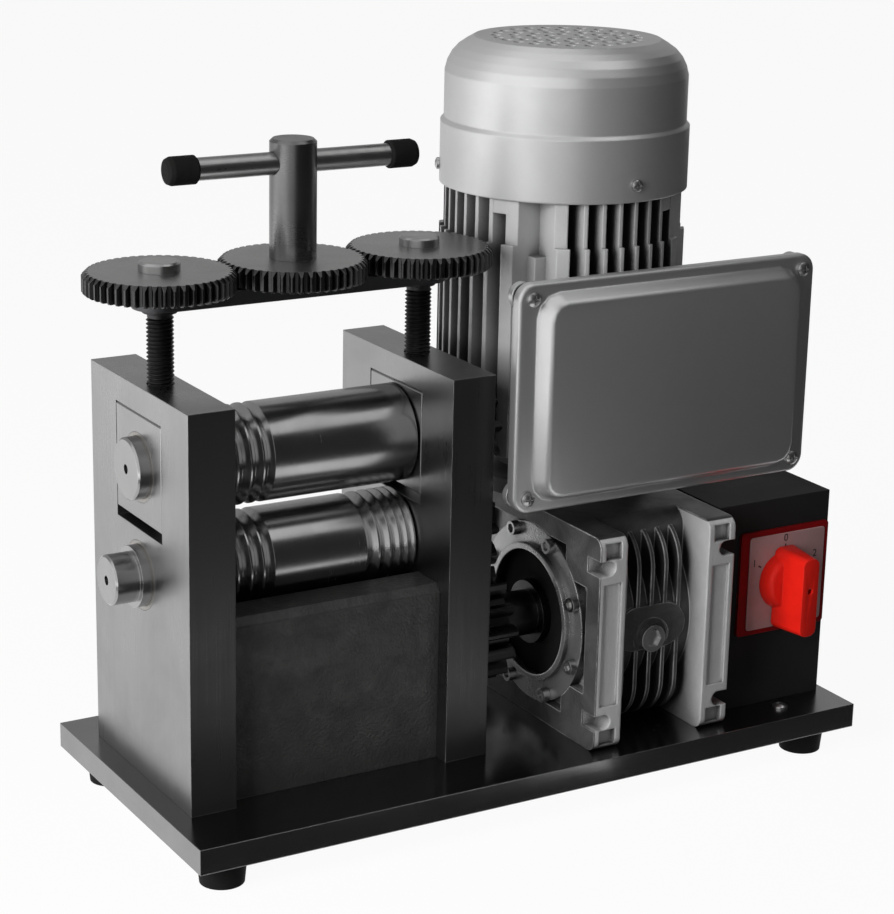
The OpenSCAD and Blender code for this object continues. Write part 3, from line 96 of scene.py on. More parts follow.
# %% [markdown]
# A product photographer stands such a machine on a white sweep, lights it with
# one large soft lamp from the left and two weak ones, overhead and in front,
# and keeps the camera's side of the room dark, so that ground steel has
# something black to mirror. The sweep here is a floor and a white world. What
# the metal mirrors is a set of cards that only reflections can see: black ones
# on the dark side and above, grey ones far behind the machine and overhead,
# which calm the faces that look up, and white ones at the left, which draw the
# long highlight on round pieces. A small bright one lies on the bench in front
# and draws the second highlight, low on the rolls.

# %% The floor
bpy.context.scene.view_settings.view_transform = "Standard"
bpy.ops.object.select_all(action="DESELECT")


def stage_sheet(name, wide, deep):
    """A flat sheet of the studio, wide along X and deep along Y."""
    bpy.ops.mesh.primitive_plane_add(size=1.0, location=(0.0, 0.0, 0.0))
    sheet = bpy.context.object
    sheet.name = name
    sheet.scale = (wide, deep, 1.0)
    bpy.ops.object.transform_apply(location=False, rotation=False, scale=True)
    return sheet


def new_material(name):
    """An empty material, its node tree and its output."""
    material = bpy.data.materials.new(name)
    material.use_nodes = True
    tree = material.node_tree
    tree.nodes.clear()
    return material, tree, tree.nodes.new("ShaderNodeOutputMaterial")


def add(tree, kind, **values):
    """One node, with its settings and its unlinked inputs."""
    node = tree.nodes.new(kind)
    for key, value in values.items():
        if key in node.inputs:
            node.inputs[key].default_value = value
        elif key.replace("_", " ") in node.inputs:
            node.inputs[key.replace("_", " ")].default_value = value
        else:
            setattr(node, key, value)
    return node


def seen_rays(tree):
    """1 for the rays that look at the background: eye, mirror and glass."""
    path = add(tree, "ShaderNodeLightPath")
    first = add(tree, "ShaderNodeMath", operation="MAXIMUM")
    both = add(tree, "ShaderNodeMath", operation="MAXIMUM")
    tree.links.new(path.outputs["Is Camera Ray"], first.inputs[0])
    tree.links.new(path.outputs["Is Glossy Ray"], first.inputs[1])
    tree.links.new(first.outputs[0], both.inputs[0])
    tree.links.new(path.outputs["Is Transmission Ray"], both.inputs[1])
    return both.outputs[0]


def by_ray(tree, lit, seen):
    """Mix two shaders: one that light falls on, and one that is looked at."""
    mixed = add(tree, "ShaderNodeMixShader")
    tree.links.new(seen_rays(tree), mixed.inputs[0])
    tree.links.new(lit.outputs[0], mixed.inputs[1])
    tree.links.new(seen.outputs[0], mixed.inputs[2])
    return mixed.outputs[0]


WHITE = (1.0, 1.0, 1.0, 1.0)
FLOOR_GLOW = 0.94
sweep, tree, out = new_material("white_sweep")
paper = add(tree, "ShaderNodeBsdfDiffuse", Color=(0.20, 0.20, 0.20, 1.0))
bright = add(tree, "ShaderNodeBsdfDiffuse", Color=(0.9, 0.9, 0.9, 1.0))
glow = add(tree, "ShaderNodeEmission", Color=WHITE, Strength=1.0)
white = add(tree, "ShaderNodeMixShader")
white.inputs[0].default_value = FLOOR_GLOW
tree.links.new(bright.outputs[0], white.inputs[1])
tree.links.new(glow.outputs[0], white.inputs[2])
tree.links.new(by_ray(tree, paper, white), out.inputs["Surface"])

floor = stage_sheet("floor", 14.0, 14.0)
floor.data.materials.append(sweep)
print("floor is", round(floor.dimensions.x), "m across")

# %% The world and the lamps
world = bpy.data.worlds.new("studio")
bpy.context.scene.world = world
world.use_nodes = True
tree = world.node_tree
tree.nodes.clear()
dim = add(tree, "ShaderNodeBackground", Color=WHITE, Strength=0.06)
pale = add(tree, "ShaderNodeBackground", Color=WHITE, Strength=1.0)
out = add(tree, "ShaderNodeOutputWorld")
tree.links.new(by_ray(tree, dim, pale), out.inputs["Surface"])
LAMP_TARGET = Vector((0.0, 0.0, 0.2))


def soft_lamp(name, place, size, power):
    """A square area lamp that points at the machine, unseen by eye and mirror."""
    lamp_data = bpy.data.lights.new(name, "AREA")
    lamp_data.shape = "SQUARE"
    lamp_data.size = size
    lamp_data.energy = power
    lamp = bpy.data.objects.new(name, lamp_data)
    bpy.context.scene.collection.objects.link(lamp)
    way = (Vector(place) - LAMP_TARGET).to_track_quat("Z", "Y").to_matrix().to_4x4()
    lamp.matrix_world = Matrix.Translation(place) @ way
    lamp.visible_camera = False
    lamp.visible_glossy = False


soft_lamp("left_softbox", (-1.70, -0.54, 0.74), 1.1, 48.0)
soft_lamp("overhead_softbox", (0.75, -0.55, 1.55), 1.1, 1.5)
soft_lamp("front_softbox", (0.35, -1.90, 0.45), 1.2, 2.2)
print("lamps:", len(bpy.data.lights))

# %% The cards


def card_cloth(name, level):
    """The even tone that a card shows in a mirror."""
    material, tree, out = new_material(name)
    cloth = add(tree, "ShaderNodeEmission", Color=WHITE, Strength=level)
    tree.links.new(cloth.outputs[0], out.inputs["Surface"])
    return material


black_cloth = card_cloth("black_card", 0.035)
grey_cloth = card_cloth("grey_card", 0.42)
white_cloth = card_cloth("white_card", 1.35)
lit_cloth = card_cloth("lit_card", 2.2)
bench_cloth = card_cloth("bench_card", 1.05)


def mirror_card(name, centre, wide, deep, cloth, tilt=0.0, swing=0.0):
    """A card that only mirror rays meet, tilted about X and then swung about Z."""
    sheet = stage_sheet(name, wide, deep)
    sheet.matrix_world = (Matrix.Translation(centre) @ Matrix.Rotation(swing, 4, "Z")
                          @ Matrix.Rotation(tilt, 4, "X"))
    sheet.data.materials.append(cloth)
    sheet.visible_camera = False
    sheet.visible_diffuse = False
    sheet.visible_transmission = False
    sheet.visible_shadow = False


QUARTER_TURN = math.radians(90)
STRIP_SWING = math.radians(26)
ON_BENCH, OVERHEAD = 0.0015, 2.2
upright = {"tilt": QUARTER_TURN}
sideways = {"tilt": QUARTER_TURN, "swing": QUARTER_TURN}
mirror_card("card_bench_front", (1.60, -1.41, ON_BENCH), 4.8, 2.6, black_cloth)
mirror_card("card_bench_right", (2.30, 0.70, ON_BENCH), 3.4, 1.6, black_cloth)
mirror_card("card_room_front", (1.75, -2.72, 1.65), 5.4, 3.3, black_cloth, **upright)
mirror_card("card_above", (1.35, 1.08, OVERHEAD), 1.3, 1.85, black_cloth)
mirror_card("card_bench_near", (-0.95, -0.95, ON_BENCH), 0.3, 0.9, black_cloth)
mirror_card("card_above_left", (-0.55, -0.95, OVERHEAD), 1.3, 1.3, grey_cloth)
mirror_card("card_bench_left", (-1.24, 0.20, ON_BENCH), 1.2, 1.6, lit_cloth)
mirror_card("card_behind", (0.5, 2.2, 1.7), 8.0, 3.4, grey_cloth, **upright)
mirror_card("card_bench_strip", (0.012, -0.300, 2 * ON_BENCH), 0.25, 0.24, bench_cloth,
            swing=STRIP_SWING)
mirror_card("card_room_right", (2.4, -0.9, 1.8), 4.0, 3.6, black_cloth, **sideways)
mirror_card("card_left", (-1.9, 0.42, 0.62), 0.9, 1.2, white_cloth, **sideways)
print("cards stand in front, behind and on both sides")

# %% [markdown]
# A few effects come back in nearly every finish, so each is a node group that is
# built once. Soft edges reads the Bevel node: it rounds the light over every
# sharp corner of the solids and also tells where a corner is, which is where
# paint rubs thin and oxide wears to bright steel.

# %% Group: soft edges


def new_group(name, inputs, outputs):
    """A node group with its sockets; returns the tree and its two ends."""
    group = bpy.data.node_groups.new(name, "ShaderNodeTree")
    for label, kind, value in inputs:
        socket = group.interface.new_socket(name=label, in_out="INPUT", socket_type=kind)
        socket.default_value = value
    for label, kind in outputs:
        group.interface.new_socket(name=label, in_out="OUTPUT", socket_type=kind)
    return group, group.nodes.new("NodeGroupInput"), group.nodes.new("NodeGroupOutput")


FLOAT, VECTOR = "NodeSocketFloat", "NodeSocketVector"

soft_edges, ends, out = new_group(
    "soft_edges",
    [("Radius", FLOAT, 0.0008), ("Breakup", FLOAT, 90.0)],
    [("Edge", FLOAT), ("Normal", VECTOR)])
links = soft_edges.links
rounded = add(soft_edges, "ShaderNodeBevel", samples=6)
flat = add(soft_edges, "ShaderNodeNewGeometry")
dot = add(soft_edges, "ShaderNodeVectorMath", operation="DOT_PRODUCT")
corner_mask = add(soft_edges, "ShaderNodeMapRange", From_Min=0.985, From_Max=0.80)
places = add(soft_edges, "ShaderNodeTexCoord")
chips = add(soft_edges, "ShaderNodeTexNoise", Detail=4.0, Roughness=0.65)
chip_mask = add(soft_edges, "ShaderNodeMapRange", From_Min=0.36, From_Max=0.62)
worn = add(soft_edges, "ShaderNodeMath", operation="MULTIPLY")
links.new(ends.outputs["Radius"], rounded.inputs["Radius"])
links.new(rounded.outputs["Normal"], dot.inputs[0])
links.new(flat.outputs["Normal"], dot.inputs[1])
links.new(dot.outputs["Value"], corner_mask.inputs["Value"])
links.new(places.outputs["Object"], chips.inputs["Vector"])
links.new(ends.outputs["Breakup"], chips.inputs["Scale"])
links.new(chips.outputs[0], chip_mask.inputs["Value"])
links.new(corner_mask.outputs[0], worn.inputs[0])
links.new(chip_mask.outputs[0], worn.inputs[1])
links.new(worn.outputs[0], out.inputs["Edge"])
links.new(rounded.outputs["Normal"], out.inputs["Normal"])
print("group made:", soft_edges.name)

# %% [markdown]
# Ground, turned and brushed steel all show fine parallel lines. A noise that is
# stretched a hundred times along one axis gives them, and each material says
# along which axis its own cutter or belt ran.

# %% Group: tool lines
tool_lines, ends, out = new_group(
    "tool_lines",
    [("Stretch", VECTOR, (40.0, 40.0, 2200.0)), ("Wander", FLOAT, 0.6)],
    [("Lines", FLOAT), ("Bands", FLOAT)])
links = tool_lines.links
places = add(tool_lines, "ShaderNodeTexCoord")
stretched = add(tool_lines, "ShaderNodeVectorMath", operation="MULTIPLY")
fine = add(tool_lines, "ShaderNodeTexNoise", Scale=1.0, Detail=3.0)
broad_place = add(tool_lines, "ShaderNodeVectorMath", operation="SCALE", Scale=0.12)
broad = add(tool_lines, "ShaderNodeTexNoise", Scale=1.0, Detail=3.0, Roughness=0.6)
links.new(places.outputs["Object"], stretched.inputs[0])
links.new(ends.outputs["Stretch"], stretched.inputs[1])
links.new(stretched.outputs[0], fine.inputs["Vector"])
links.new(stretched.outputs[0], broad_place.inputs[0])
links.new(broad_place.outputs[0], broad.inputs["Vector"])
links.new(ends.outputs["Wander"], fine.inputs["Roughness"])
links.new(fine.outputs[0], out.inputs["Lines"])
links.new(broad.outputs[0], out.inputs["Bands"])
print("group made:", tool_lines.name)

# %% [markdown]
# Oil, fingers and handling leave soft clouds on metal and paint, and a casting
# keeps the pebbled skin of its mould. Clouds and skin are two noises of very
# different scale in one group.

# %% Group: clouds and skin
clouds_skin, ends, out = new_group(
    "clouds_and_skin",
    [("Cloud Scale", FLOAT, 18.0), ("Skin Scale", FLOAT, 700.0)],
    [("Clouds", FLOAT), ("Skin", FLOAT), ("Specks", FLOAT)])
links = clouds_skin.links
places = add(clouds_skin, "ShaderNodeTexCoord")
cloud = add(clouds_skin, "ShaderNodeTexNoise", Detail=6.0, Roughness=0.62, Distortion=0.6)
cloud_mask = add(clouds_skin, "ShaderNodeMapRange", From_Min=0.30, From_Max=0.70)
skin = add(clouds_skin, "ShaderNodeTexNoise", Detail=2.0, Roughness=0.5)
pits = add(clouds_skin, "ShaderNodeTexVoronoi")
pit_mask = add(clouds_skin, "ShaderNodeMapRange", From_Min=0.16, From_Max=0.05)
links.new(places.outputs["Object"], cloud.inputs["Vector"])
links.new(places.outputs["Object"], skin.inputs["Vector"])
links.new(places.outputs["Object"], pits.inputs["Vector"])
links.new(ends.outputs["Cloud Scale"], cloud.inputs["Scale"])
links.new(ends.outputs["Skin Scale"], skin.inputs["Scale"])
links.new(ends.outputs["Skin Scale"], pits.inputs["Scale"])
links.new(cloud.outputs[0], cloud_mask.inputs["Value"])
links.new(pits.outputs["Distance"], pit_mask.inputs["Value"])
links.new(cloud_mask.outputs[0], out.inputs["Clouds"])
links.new(skin.outputs[0], out.inputs["Skin"])
links.new(pit_mask.outputs[0], out.inputs["Specks"])
print("group made:", clouds_skin.name)

# %% [markdown]
# Between the cooling fins and in the corners of a casting sits dark, oily dust
# that no cloth reaches, and shade falls there too. The Ambient Occlusion node
# finds such places: it looks a short way out from the surface and tells how much
# of the view is shut in. The darkening laid there is part dust, part painted shade.

# %% Group: dust and painted shade in the corners
grime_and_shade_corners, ends, out = new_group(
    "grime_and_painted_shade_in_corners",
    [("Reach", FLOAT, 0.018), ("Open", FLOAT, 0.74), ("Shut", FLOAT, 0.34)],
    [("Grime And Shade", FLOAT)])
links = grime_and_shade_corners.links
shut_in = add(grime_and_shade_corners, "ShaderNodeAmbientOcclusion", samples=6)
grime_and_shade_mask = add(grime_and_shade_corners, "ShaderNodeMapRange")
links.new(ends.outputs["Reach"], shut_in.inputs["Distance"])
links.new(ends.outputs["Open"], grime_and_shade_mask.inputs["From Min"])
links.new(ends.outputs["Shut"], grime_and_shade_mask.inputs["From Max"])
links.new(shut_in.outputs["AO"], grime_and_shade_mask.inputs["Value"])
links.new(grime_and_shade_mask.outputs[0], out.inputs["Grime And Shade"])
print("group made:", grime_and_shade_corners.name)

# %% [markdown]
# The adjusting gears are blackened all over and then faced on the lathe, so
# their flats are bright and their teeth are dark. The uprights are the other
# way round: ground on their sides, and left black on the front and the back.
# The surface's own normal tells the one from the other, whichever way the
# piece has turned.

# %% Group: faced flats
faced_flats, ends, out = new_group(
    "faced_flats",
    [("Axis", VECTOR, (0.0, 0.0, 1.0)), ("Sharpness", FLOAT, 0.9)],
    [("Flat", FLOAT)])
links = faced_flats.links
places = add(faced_flats, "ShaderNodeTexCoord")
along = add(faced_flats, "ShaderNodeVectorMath", operation="DOT_PRODUCT")
either = add(faced_flats, "ShaderNodeMath", operation="ABSOLUTE")
flat_mask = add(faced_flats, "ShaderNodeMapRange", From_Min=0.80)
links.new(places.outputs["Normal"], along.inputs[0])
links.new(ends.outputs["Axis"], along.inputs[1])
links.new(along.outputs["Value"], either.inputs[0])
links.new(either.outputs[0], flat_mask.inputs["Value"])
links.new(ends.outputs["Sharpness"], flat_mask.inputs["From Max"])
links.new(flat_mask.outputs[0], out.inputs["Flat"])
print("group made:", faced_flats.name)

# %% [markdown]
# A dark coat, thicker in patches, lies on the end of the gearbox that faces the
# roll gears, on its top and between its fins. It is painted shade: the shade that
# the right upright casts on that end, that the box casts on the top, and that
# falls between the fins. Limits along X and Z say where the coat lies.

# %% Group: painted shade coat
painted_shade_film, ends, out = new_group(
    "painted_shade_film",
    [("Left End", FLOAT, 0.0), ("Fins From", FLOAT, 0.0), ("Fins To", FLOAT, 0.0),
     ("Top", FLOAT, 1.0), ("Patches", FLOAT, 0.5)],
    [("Shade Film", FLOAT)])
links = painted_shade_film.links
places = add(painted_shade_film, "ShaderNodeTexCoord")
sides = add(painted_shade_film, "ShaderNodeSeparateXYZ")
links.new(places.outputs["Object"], sides.inputs[0])


def compared(operation, first, second):
    """A math node of the dark coat of painted shade, between two outputs."""
    node = add(painted_shade_film, "ShaderNodeMath", operation=operation)
    links.new(first, node.inputs[0])
    links.new(second, node.inputs[1])
    return node.outputs[0]


on_end = compared("LESS_THAN", sides.outputs["X"], ends.outputs["Left End"])
past_cheek = compared("GREATER_THAN", sides.outputs["X"], ends.outputs["Fins From"])
before_cheek = compared("LESS_THAN", sides.outputs["X"], ends.outputs["Fins To"])
on_top = compared("GREATER_THAN", sides.outputs["Z"], ends.outputs["Top"])
in_fins = compared("MULTIPLY", past_cheek, before_cheek)
in_shade_film = compared("MAXIMUM", compared("MAXIMUM", on_end, on_top), in_fins)
thickness = add(painted_shade_film, "ShaderNodeMapRange", To_Min=0.86, To_Max=0.99)
links.new(ends.outputs["Patches"], thickness.inputs["Value"])
links.new(compared("MULTIPLY", in_shade_film, thickness.outputs[0]), out.inputs["Shade Film"])
print("group made:", painted_shade_film.name)

# %% [markdown]
# Every finish of the machine is laid up in the same order as in the workshop:
# a base tone that drifts a little in soft clouds, the lines or the skin that
# the process leaves, and a worn tone on the corners. Where a finish asks for
# them, faced flats and a dark coat of painted shade come before the wear, and a
# darkening of shut-in corners, part dust and part painted shade, comes last.
# One helper wires the groups to the shader, so that a finish is only its own
# numbers. What is the same all over a surface, such as how strongly it mirrors,
# is set on the shader itself.

# %% A helper that lays up a finish
# The second share here sets how strongly shut-in corners darken: part dust, part painted shade.
STREAK_SHARE, GRIME_AND_SHADE_SHARE = 0.55, 0.9
# The next tone is that of the dark coat on the gearbox, which is painted shade.
PAINTED_SHADE_TONE = (0.030, 0.029, 0.029)
# This tone darkens shut-in corners: part dust, part painted shade.
GRIME_AND_SHADE_TONE = (0.022, 0.021, 0.021)
# The Mix node lists its colour sockets after those for numbers and vectors.
MIX_FACTOR, MIX_FIRST, MIX_SECOND, MIX_COLOUR = 0, 6, 7, 2


def colour_mix(tree, factor, first, second):
    """Blend two colours, each a constant or the output of a node."""
    mix = add(tree, "ShaderNodeMix", data_type="RGBA")
    tree.links.new(factor, mix.inputs[MIX_FACTOR])
    for index, tone in ((MIX_FIRST, first), (MIX_SECOND, second)):
        if isinstance(tone, tuple):
            mix.inputs[index].default_value = tone + (1.0,)
        else:
            tree.links.new(tone, mix.inputs[index])
    return mix.outputs[MIX_COLOUR]


def spread(tree, value, low, high):
    """Spread a 0 to 1 value between two numbers."""
    node = add(tree, "ShaderNodeMapRange", To_Min=low, To_Max=high)
    tree.links.new(value, node.inputs["Value"])
    return node.outputs[0]


def finish(name, tone, clouded, worn, metal, rough, radius=0.0008, lines=None,
           line_depth=0.00002, line_rough=0.10, skin=700.0, skin_depth=0.0,
           cloud_scale=18.0, wear=0.6, specular=0.5, breakup=90.0, grime_and_shade=None,
           flats=None, shade_film_limits=None):
    """A finish from its tones, its roughness range and the marks of its making.

    The corner darkening (part dust, part painted shade) is (reach, open, shut),
    flats is (axis, tone, metal), and the dark coat of painted shade is
    (left end, fins from, fins to, top).
    """
    material, tree, out = new_material(name)
    shader = add(tree, "ShaderNodeBsdfPrincipled", Metallic=metal, Specular_IOR_Level=specular)
    edges = add(tree, "ShaderNodeGroup", node_tree=soft_edges, Radius=radius, Breakup=breakup)
    marks = add(tree, "ShaderNodeGroup", node_tree=clouds_skin, Cloud_Scale=cloud_scale,
                Skin_Scale=skin)
    base = colour_mix(tree, marks.outputs["Clouds"], tone, clouded)
    gloss = spread(tree, marks.outputs["Clouds"], rough[0], rough[1])
    height, depth = marks.outputs["Skin"], skin_depth
    if lines:
        brush = add(tree, "ShaderNodeGroup", node_tree=tool_lines, Stretch=lines)
        streak = spread(tree, brush.outputs["Bands"], 0.0, STREAK_SHARE)
        base = colour_mix(tree, streak, base, clouded)
        fine_gloss = spread(tree, brush.outputs["Lines"], -line_rough, line_rough)
        both = add(tree, "ShaderNodeMath", operation="ADD", use_clamp=True)
        tree.links.new(gloss, both.inputs[0])
        tree.links.new(fine_gloss, both.inputs[1])
        gloss = both.outputs[0]
        height, depth = brush.outputs["Lines"], line_depth
    if flats:
        axis, flat_tone, flat_metal = flats
        faced = add(tree, "ShaderNodeGroup", node_tree=faced_flats, Axis=axis)
        base = colour_mix(tree, faced.outputs["Flat"], base, flat_tone)
        if flat_metal != metal:
            both_metals = spread(tree, faced.outputs["Flat"], metal, flat_metal)
            tree.links.new(both_metals, shader.inputs["Metallic"])
    # The dark coat on the gearbox's left end, top and fins is painted shade.
    if shade_film_limits:
        shade_film_node = add(tree, "ShaderNodeGroup", node_tree=painted_shade_film)
        for label, value in zip(("Left End", "Fins From", "Fins To", "Top"), shade_film_limits):
            shade_film_node.inputs[label].default_value = value
        tree.links.new(marks.outputs["Clouds"], shade_film_node.inputs["Patches"])
        base = colour_mix(tree, shade_film_node.outputs["Shade Film"], base, PAINTED_SHADE_TONE)
    rubbed = spread(tree, edges.outputs["Edge"], 0.0, wear)
    base = colour_mix(tree, rubbed, base, worn)
    # Corners that the Ambient Occlusion node finds shut in are darkened: part dust, part
    # painted shade.
    if grime_and_shade:
        corners = add(tree, "ShaderNodeGroup", node_tree=grime_and_shade_corners)
        for label, value in zip(("Reach", "Open", "Shut"), grime_and_shade):
            corners.inputs[label].default_value = value
        grime_and_shade_amount = spread(tree, corners.outputs["Grime And Shade"], 0.0, GRIME_AND_SHADE_SHARE)
        base = colour_mix(tree, grime_and_shade_amount, base, GRIME_AND_SHADE_TONE)
    bump = add(tree, "ShaderNodeBump", Strength=1.0, Distance=depth)
    tree.links.new(height, bump.inputs["Height"])
    tree.links.new(edges.outputs["Normal"], bump.inputs["Normal"])
    tree.links.new(base, shader.inputs["Base Color"])
    tree.links.new(gloss, shader.inputs["Roughness"])
    tree.links.new(bump.outputs["Normal"], shader.inputs["Normal"])
    tree.links.new(shader.outputs[0], out.inputs["Surface"])
    return material


def wear_on(material, *names):
    """Give nodes of the solid model a finish, without touching their shapes."""
    for name in names:
        nodes[name].data.materials[0] = material


print("a finish takes three tones and the marks of its making")

# %% [markdown]
# The uprights are ground steel on their sides, with the faint vertical lines
# of the grinding belt, and black on their fronts and backs. The base plate is
# milled, the gears are hobbed, and the yoke and the threads are blackened, so
# each has its own tone and its own lines.

# %% Steel finishes
ground_steel = finish(
    "ground_black_steel", (0.380, 0.377, 0.378), (0.305, 0.304, 0.309), (0.58, 0.58, 0.56),
    1.0, (0.26, 0.38), radius=0.0007, lines=(900.0, 900.0, 14.0), line_depth=0.000012,
    cloud_scale=14.0, wear=0.3, flats=((0.0, 1.0, 0.0), (0.015, 0.0145, 0.0148), 0.0))
block_steel = finish(
    "ground_block_steel", (0.385, 0.382, 0.383), (0.320, 0.319, 0.324), (0.10, 0.10, 0.10),
    1.0, (0.26, 0.38), radius=0.0002, lines=(900.0, 900.0, 14.0), line_depth=0.000012,
    cloud_scale=14.0, wear=0.5)
plate_steel = finish(
    "milled_base_steel", (0.335, 0.333, 0.333), (0.265, 0.264, 0.268), (0.52, 0.52, 0.51),
    1.0, (0.16, 0.26), radius=0.0007, lines=(16.0, 900.0, 900.0), line_depth=0.000006,
    line_rough=0.06, cloud_scale=16.0, wear=0.35)
oxide_steel = finish(
    "black_oxide_steel", (0.110, 0.110, 0.114), (0.070, 0.071, 0.075), (0.40, 0.40, 0.39),
    1.0, (0.34, 0.52), radius=0.0007, lines=(16.0, 900.0, 900.0), line_depth=0.000010,
    cloud_scale=16.0, wear=0.4)
thread_steel = finish(
    "oiled_thread_steel", (0.040, 0.040, 0.042), (0.062, 0.062, 0.064), (0.20, 0.20, 0.20),
    1.0, (0.34, 0.50), radius=0.0003, cloud_scale=60.0, skin=1500.0, skin_depth=0.00001,
    wear=0.4)
gear_steel = finish(
    "hobbed_gear_steel", (0.060, 0.060, 0.061), (0.085, 0.085, 0.086), (0.42, 0.42, 0.41),
    1.0, (0.28, 0.40), radius=0.0004, lines=(700.0, 700.0, 60.0), line_depth=0.000006,
    cloud_scale=30.0, wear=0.45, flats=((0.0, 0.0, 1.0), (0.345, 0.343, 0.342), 1.0))
# This dark tone is partly the oily black of the pinions and partly painted shade: on the drive
# gear and the output shaft it stands in for the shadowed bore of the gearbox.
pinion_oil_and_shade = finish(
    "oily_pinion_steel_and_painted_shade", (0.075, 0.075, 0.076), (0.050, 0.050, 0.051), (0.30, 0.30, 0.30),
    1.0, (0.26, 0.40), radius=0.0004, lines=(60.0, 700.0, 700.0), line_depth=0.000006,
    cloud_scale=30.0, wear=0.4)
blued_steel = finish(
    "blued_turned_steel", (0.220, 0.218, 0.220), (0.160, 0.160, 0.163), (0.50, 0.50, 0.49),
    1.0, (0.24, 0.36), radius=0.0005, lines=(60.0, 60.0, 2400.0), line_depth=0.000006,
    line_rough=0.06, cloud_scale=30.0, wear=0.5)
cast_iron = finish(
    "oiled_cast_iron", (0.052, 0.051, 0.050), (0.034, 0.033, 0.033), (0.12, 0.12, 0.12),
    0.25, (0.34, 0.52), radius=0.0012, skin=620.0, skin_depth=0.00030,
    cloud_scale=70.0, wear=0.35, specular=0.40)
roll_steel = finish(
    "polished_roll_steel", (0.430, 0.428, 0.427), (0.370, 0.369, 0.370), (0.66, 0.66, 0.65),
    1.0, (0.20, 0.27), radius=0.0004, lines=(2600.0, 9.0, 9.0), line_depth=0.000004,
    line_rough=0.05, cloud_scale=24.0, wear=0.6)
bright_steel = finish(
    "bright_turned_steel", (0.46, 0.455, 0.45), (0.36, 0.36, 0.36), (0.70, 0.70, 0.69),
    1.0, (0.26, 0.40), radius=0.0005, lines=(60.0, 60.0, 2400.0), line_depth=0.000006,
    line_rough=0.06, cloud_scale=40.0, wear=0.6)
plated_steel = finish(
    "zinc_plated_steel", (0.56, 0.56, 0.55), (0.44, 0.44, 0.45), (0.74, 0.74, 0.72),
    1.0, (0.26, 0.42), radius=0.0004, cloud_scale=120.0, skin=1500.0, skin_depth=0.00001)
bush_bronze = finish(
    "dull_bush_bronze", (0.42, 0.405, 0.385), (0.34, 0.325, 0.305), (0.66, 0.64, 0.61),
    1.0, (0.28, 0.44), radius=0.0004, lines=(2000.0, 50.0, 50.0), line_depth=0.000006)
wear_on(ground_steel, "left_upright", "right_upright")
wear_on(block_steel, "left_chock", "right_chock")
wear_on(plate_steel, "base_plate")
wear_on(oxide_steel, "yoke_bar")
wear_on(thread_steel, "left_screw", "right_screw")
wear_on(gear_steel, "left_gear", "centre_gear", "right_gear")
# The drive gear and the output shaft are dark partly as painted shade.
wear_on(pinion_oil_and_shade, "upper_roll_gear", "lower_roll_gear", "drive_gear", "output_shaft")
wear_on(blued_steel, "handle_post")
wear_on(cast_iron, "bed_block")
wear_on(roll_steel, "upper_roll", "lower_roll")
wear_on(bright_steel, "left_gear_nut", "right_gear_nut", "cross_bar", "motor_shaft",
        "worm", "gearbox_bearings", "motor_bearings")
wear_on(plated_steel, "foot_screws", "earth_screw", "base_bolts", "cover_screws",
        "flange_bolts", "cowl_screws", "lid_screws", "plate_screws",
        "switch_box_screws", "oil_plug")
wear_on(bush_bronze, "lower_bushes", "upper_bushes", "worm_wheel")
print("steel finishes laid on")

# %% [markdown]
# The gearbox and the motor are aluminium castings: bright, slightly pebbled
# from the mould, with machined lips that catch the light. The cowl and the lid
# are silver paint: flakes of metal in a clear lacquer, so it scatters most of
# the light, and still mirrors the room softly, as plain grey paint would not.
# The cowl has less flake in its paint than the lid, and so looks paler.

# %% Castings and paint
# The darkening in this casting's corners and fin gaps is part dust, part painted shade.
cast_aluminium = finish(
    "cast_aluminium", (0.56, 0.56, 0.56), (0.46, 0.46, 0.465), (0.78, 0.78, 0.78),
    0.35, (0.38, 0.54), radius=0.0010, skin=900.0, skin_depth=0.00012,
    cloud_scale=22.0, wear=0.7, grime_and_shade=(0.018, 0.70, 0.26))
gearbox_low, gearbox_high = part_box("gearbox_housing")
CHEEK_THICK, FACE_DEPTH = 17.5 * MM, 0.8 * MM
# The gearbox's corner darkening reaches far, so it also paints the shade that the right upright
# casts on its left end.
raw_casting = finish(
    "raw_gearbox_casting", (0.66, 0.66, 0.66), (0.54, 0.54, 0.545), (0.88, 0.88, 0.88),
    0.35, (0.30, 0.48), radius=0.0014, skin=800.0, skin_depth=0.00018,
    cloud_scale=34.0, wear=0.9, breakup=40.0, grime_and_shade=(0.040, 0.56, 0.30),
    # The dark coat on the left end, on the top and between the fins is painted shade.
    shade_film_limits=(gearbox_low.x + FACE_DEPTH, gearbox_low.x + CHEEK_THICK,
           gearbox_high.x - CHEEK_THICK, gearbox_high.z - FACE_DEPTH))
# The darkening in the cover's corners is part dust, part painted shade.
machined_cover = finish(
    "machined_cover", (0.46, 0.46, 0.46), (0.36, 0.36, 0.365), (0.86, 0.86, 0.86),
    0.85, (0.24, 0.38), radius=0.0012, skin=800.0, skin_depth=0.00014,
    cloud_scale=34.0, wear=0.9, grime_and_shade=(0.018, 0.74, 0.34))
grey_paint = finish(
    "silver_grey_paint", (0.62, 0.62, 0.625), (0.57, 0.57, 0.576), (0.74, 0.74, 0.74),
    0.86, (0.33, 0.42), radius=0.0012, skin=1300.0, skin_depth=0.00006,
    cloud_scale=12.0, wear=0.25)
cowl_paint = finish(
    "silver_cowl_paint", (0.64, 0.64, 0.645), (0.58, 0.58, 0.586), (0.74, 0.74, 0.74),
    0.72, (0.36, 0.45), radius=0.0012, skin=1300.0, skin_depth=0.00006,
    cloud_scale=12.0, wear=0.25)
black_paint = finish(
    "black_stoved_paint", (0.016, 0.0150, 0.0155), (0.021, 0.0200, 0.0205), (0.06, 0.06, 0.06),
    0.0, (0.50, 0.62), radius=0.0010, skin=1500.0, skin_depth=0.00006,
    cloud_scale=20.0, wear=0.3, specular=0.10)
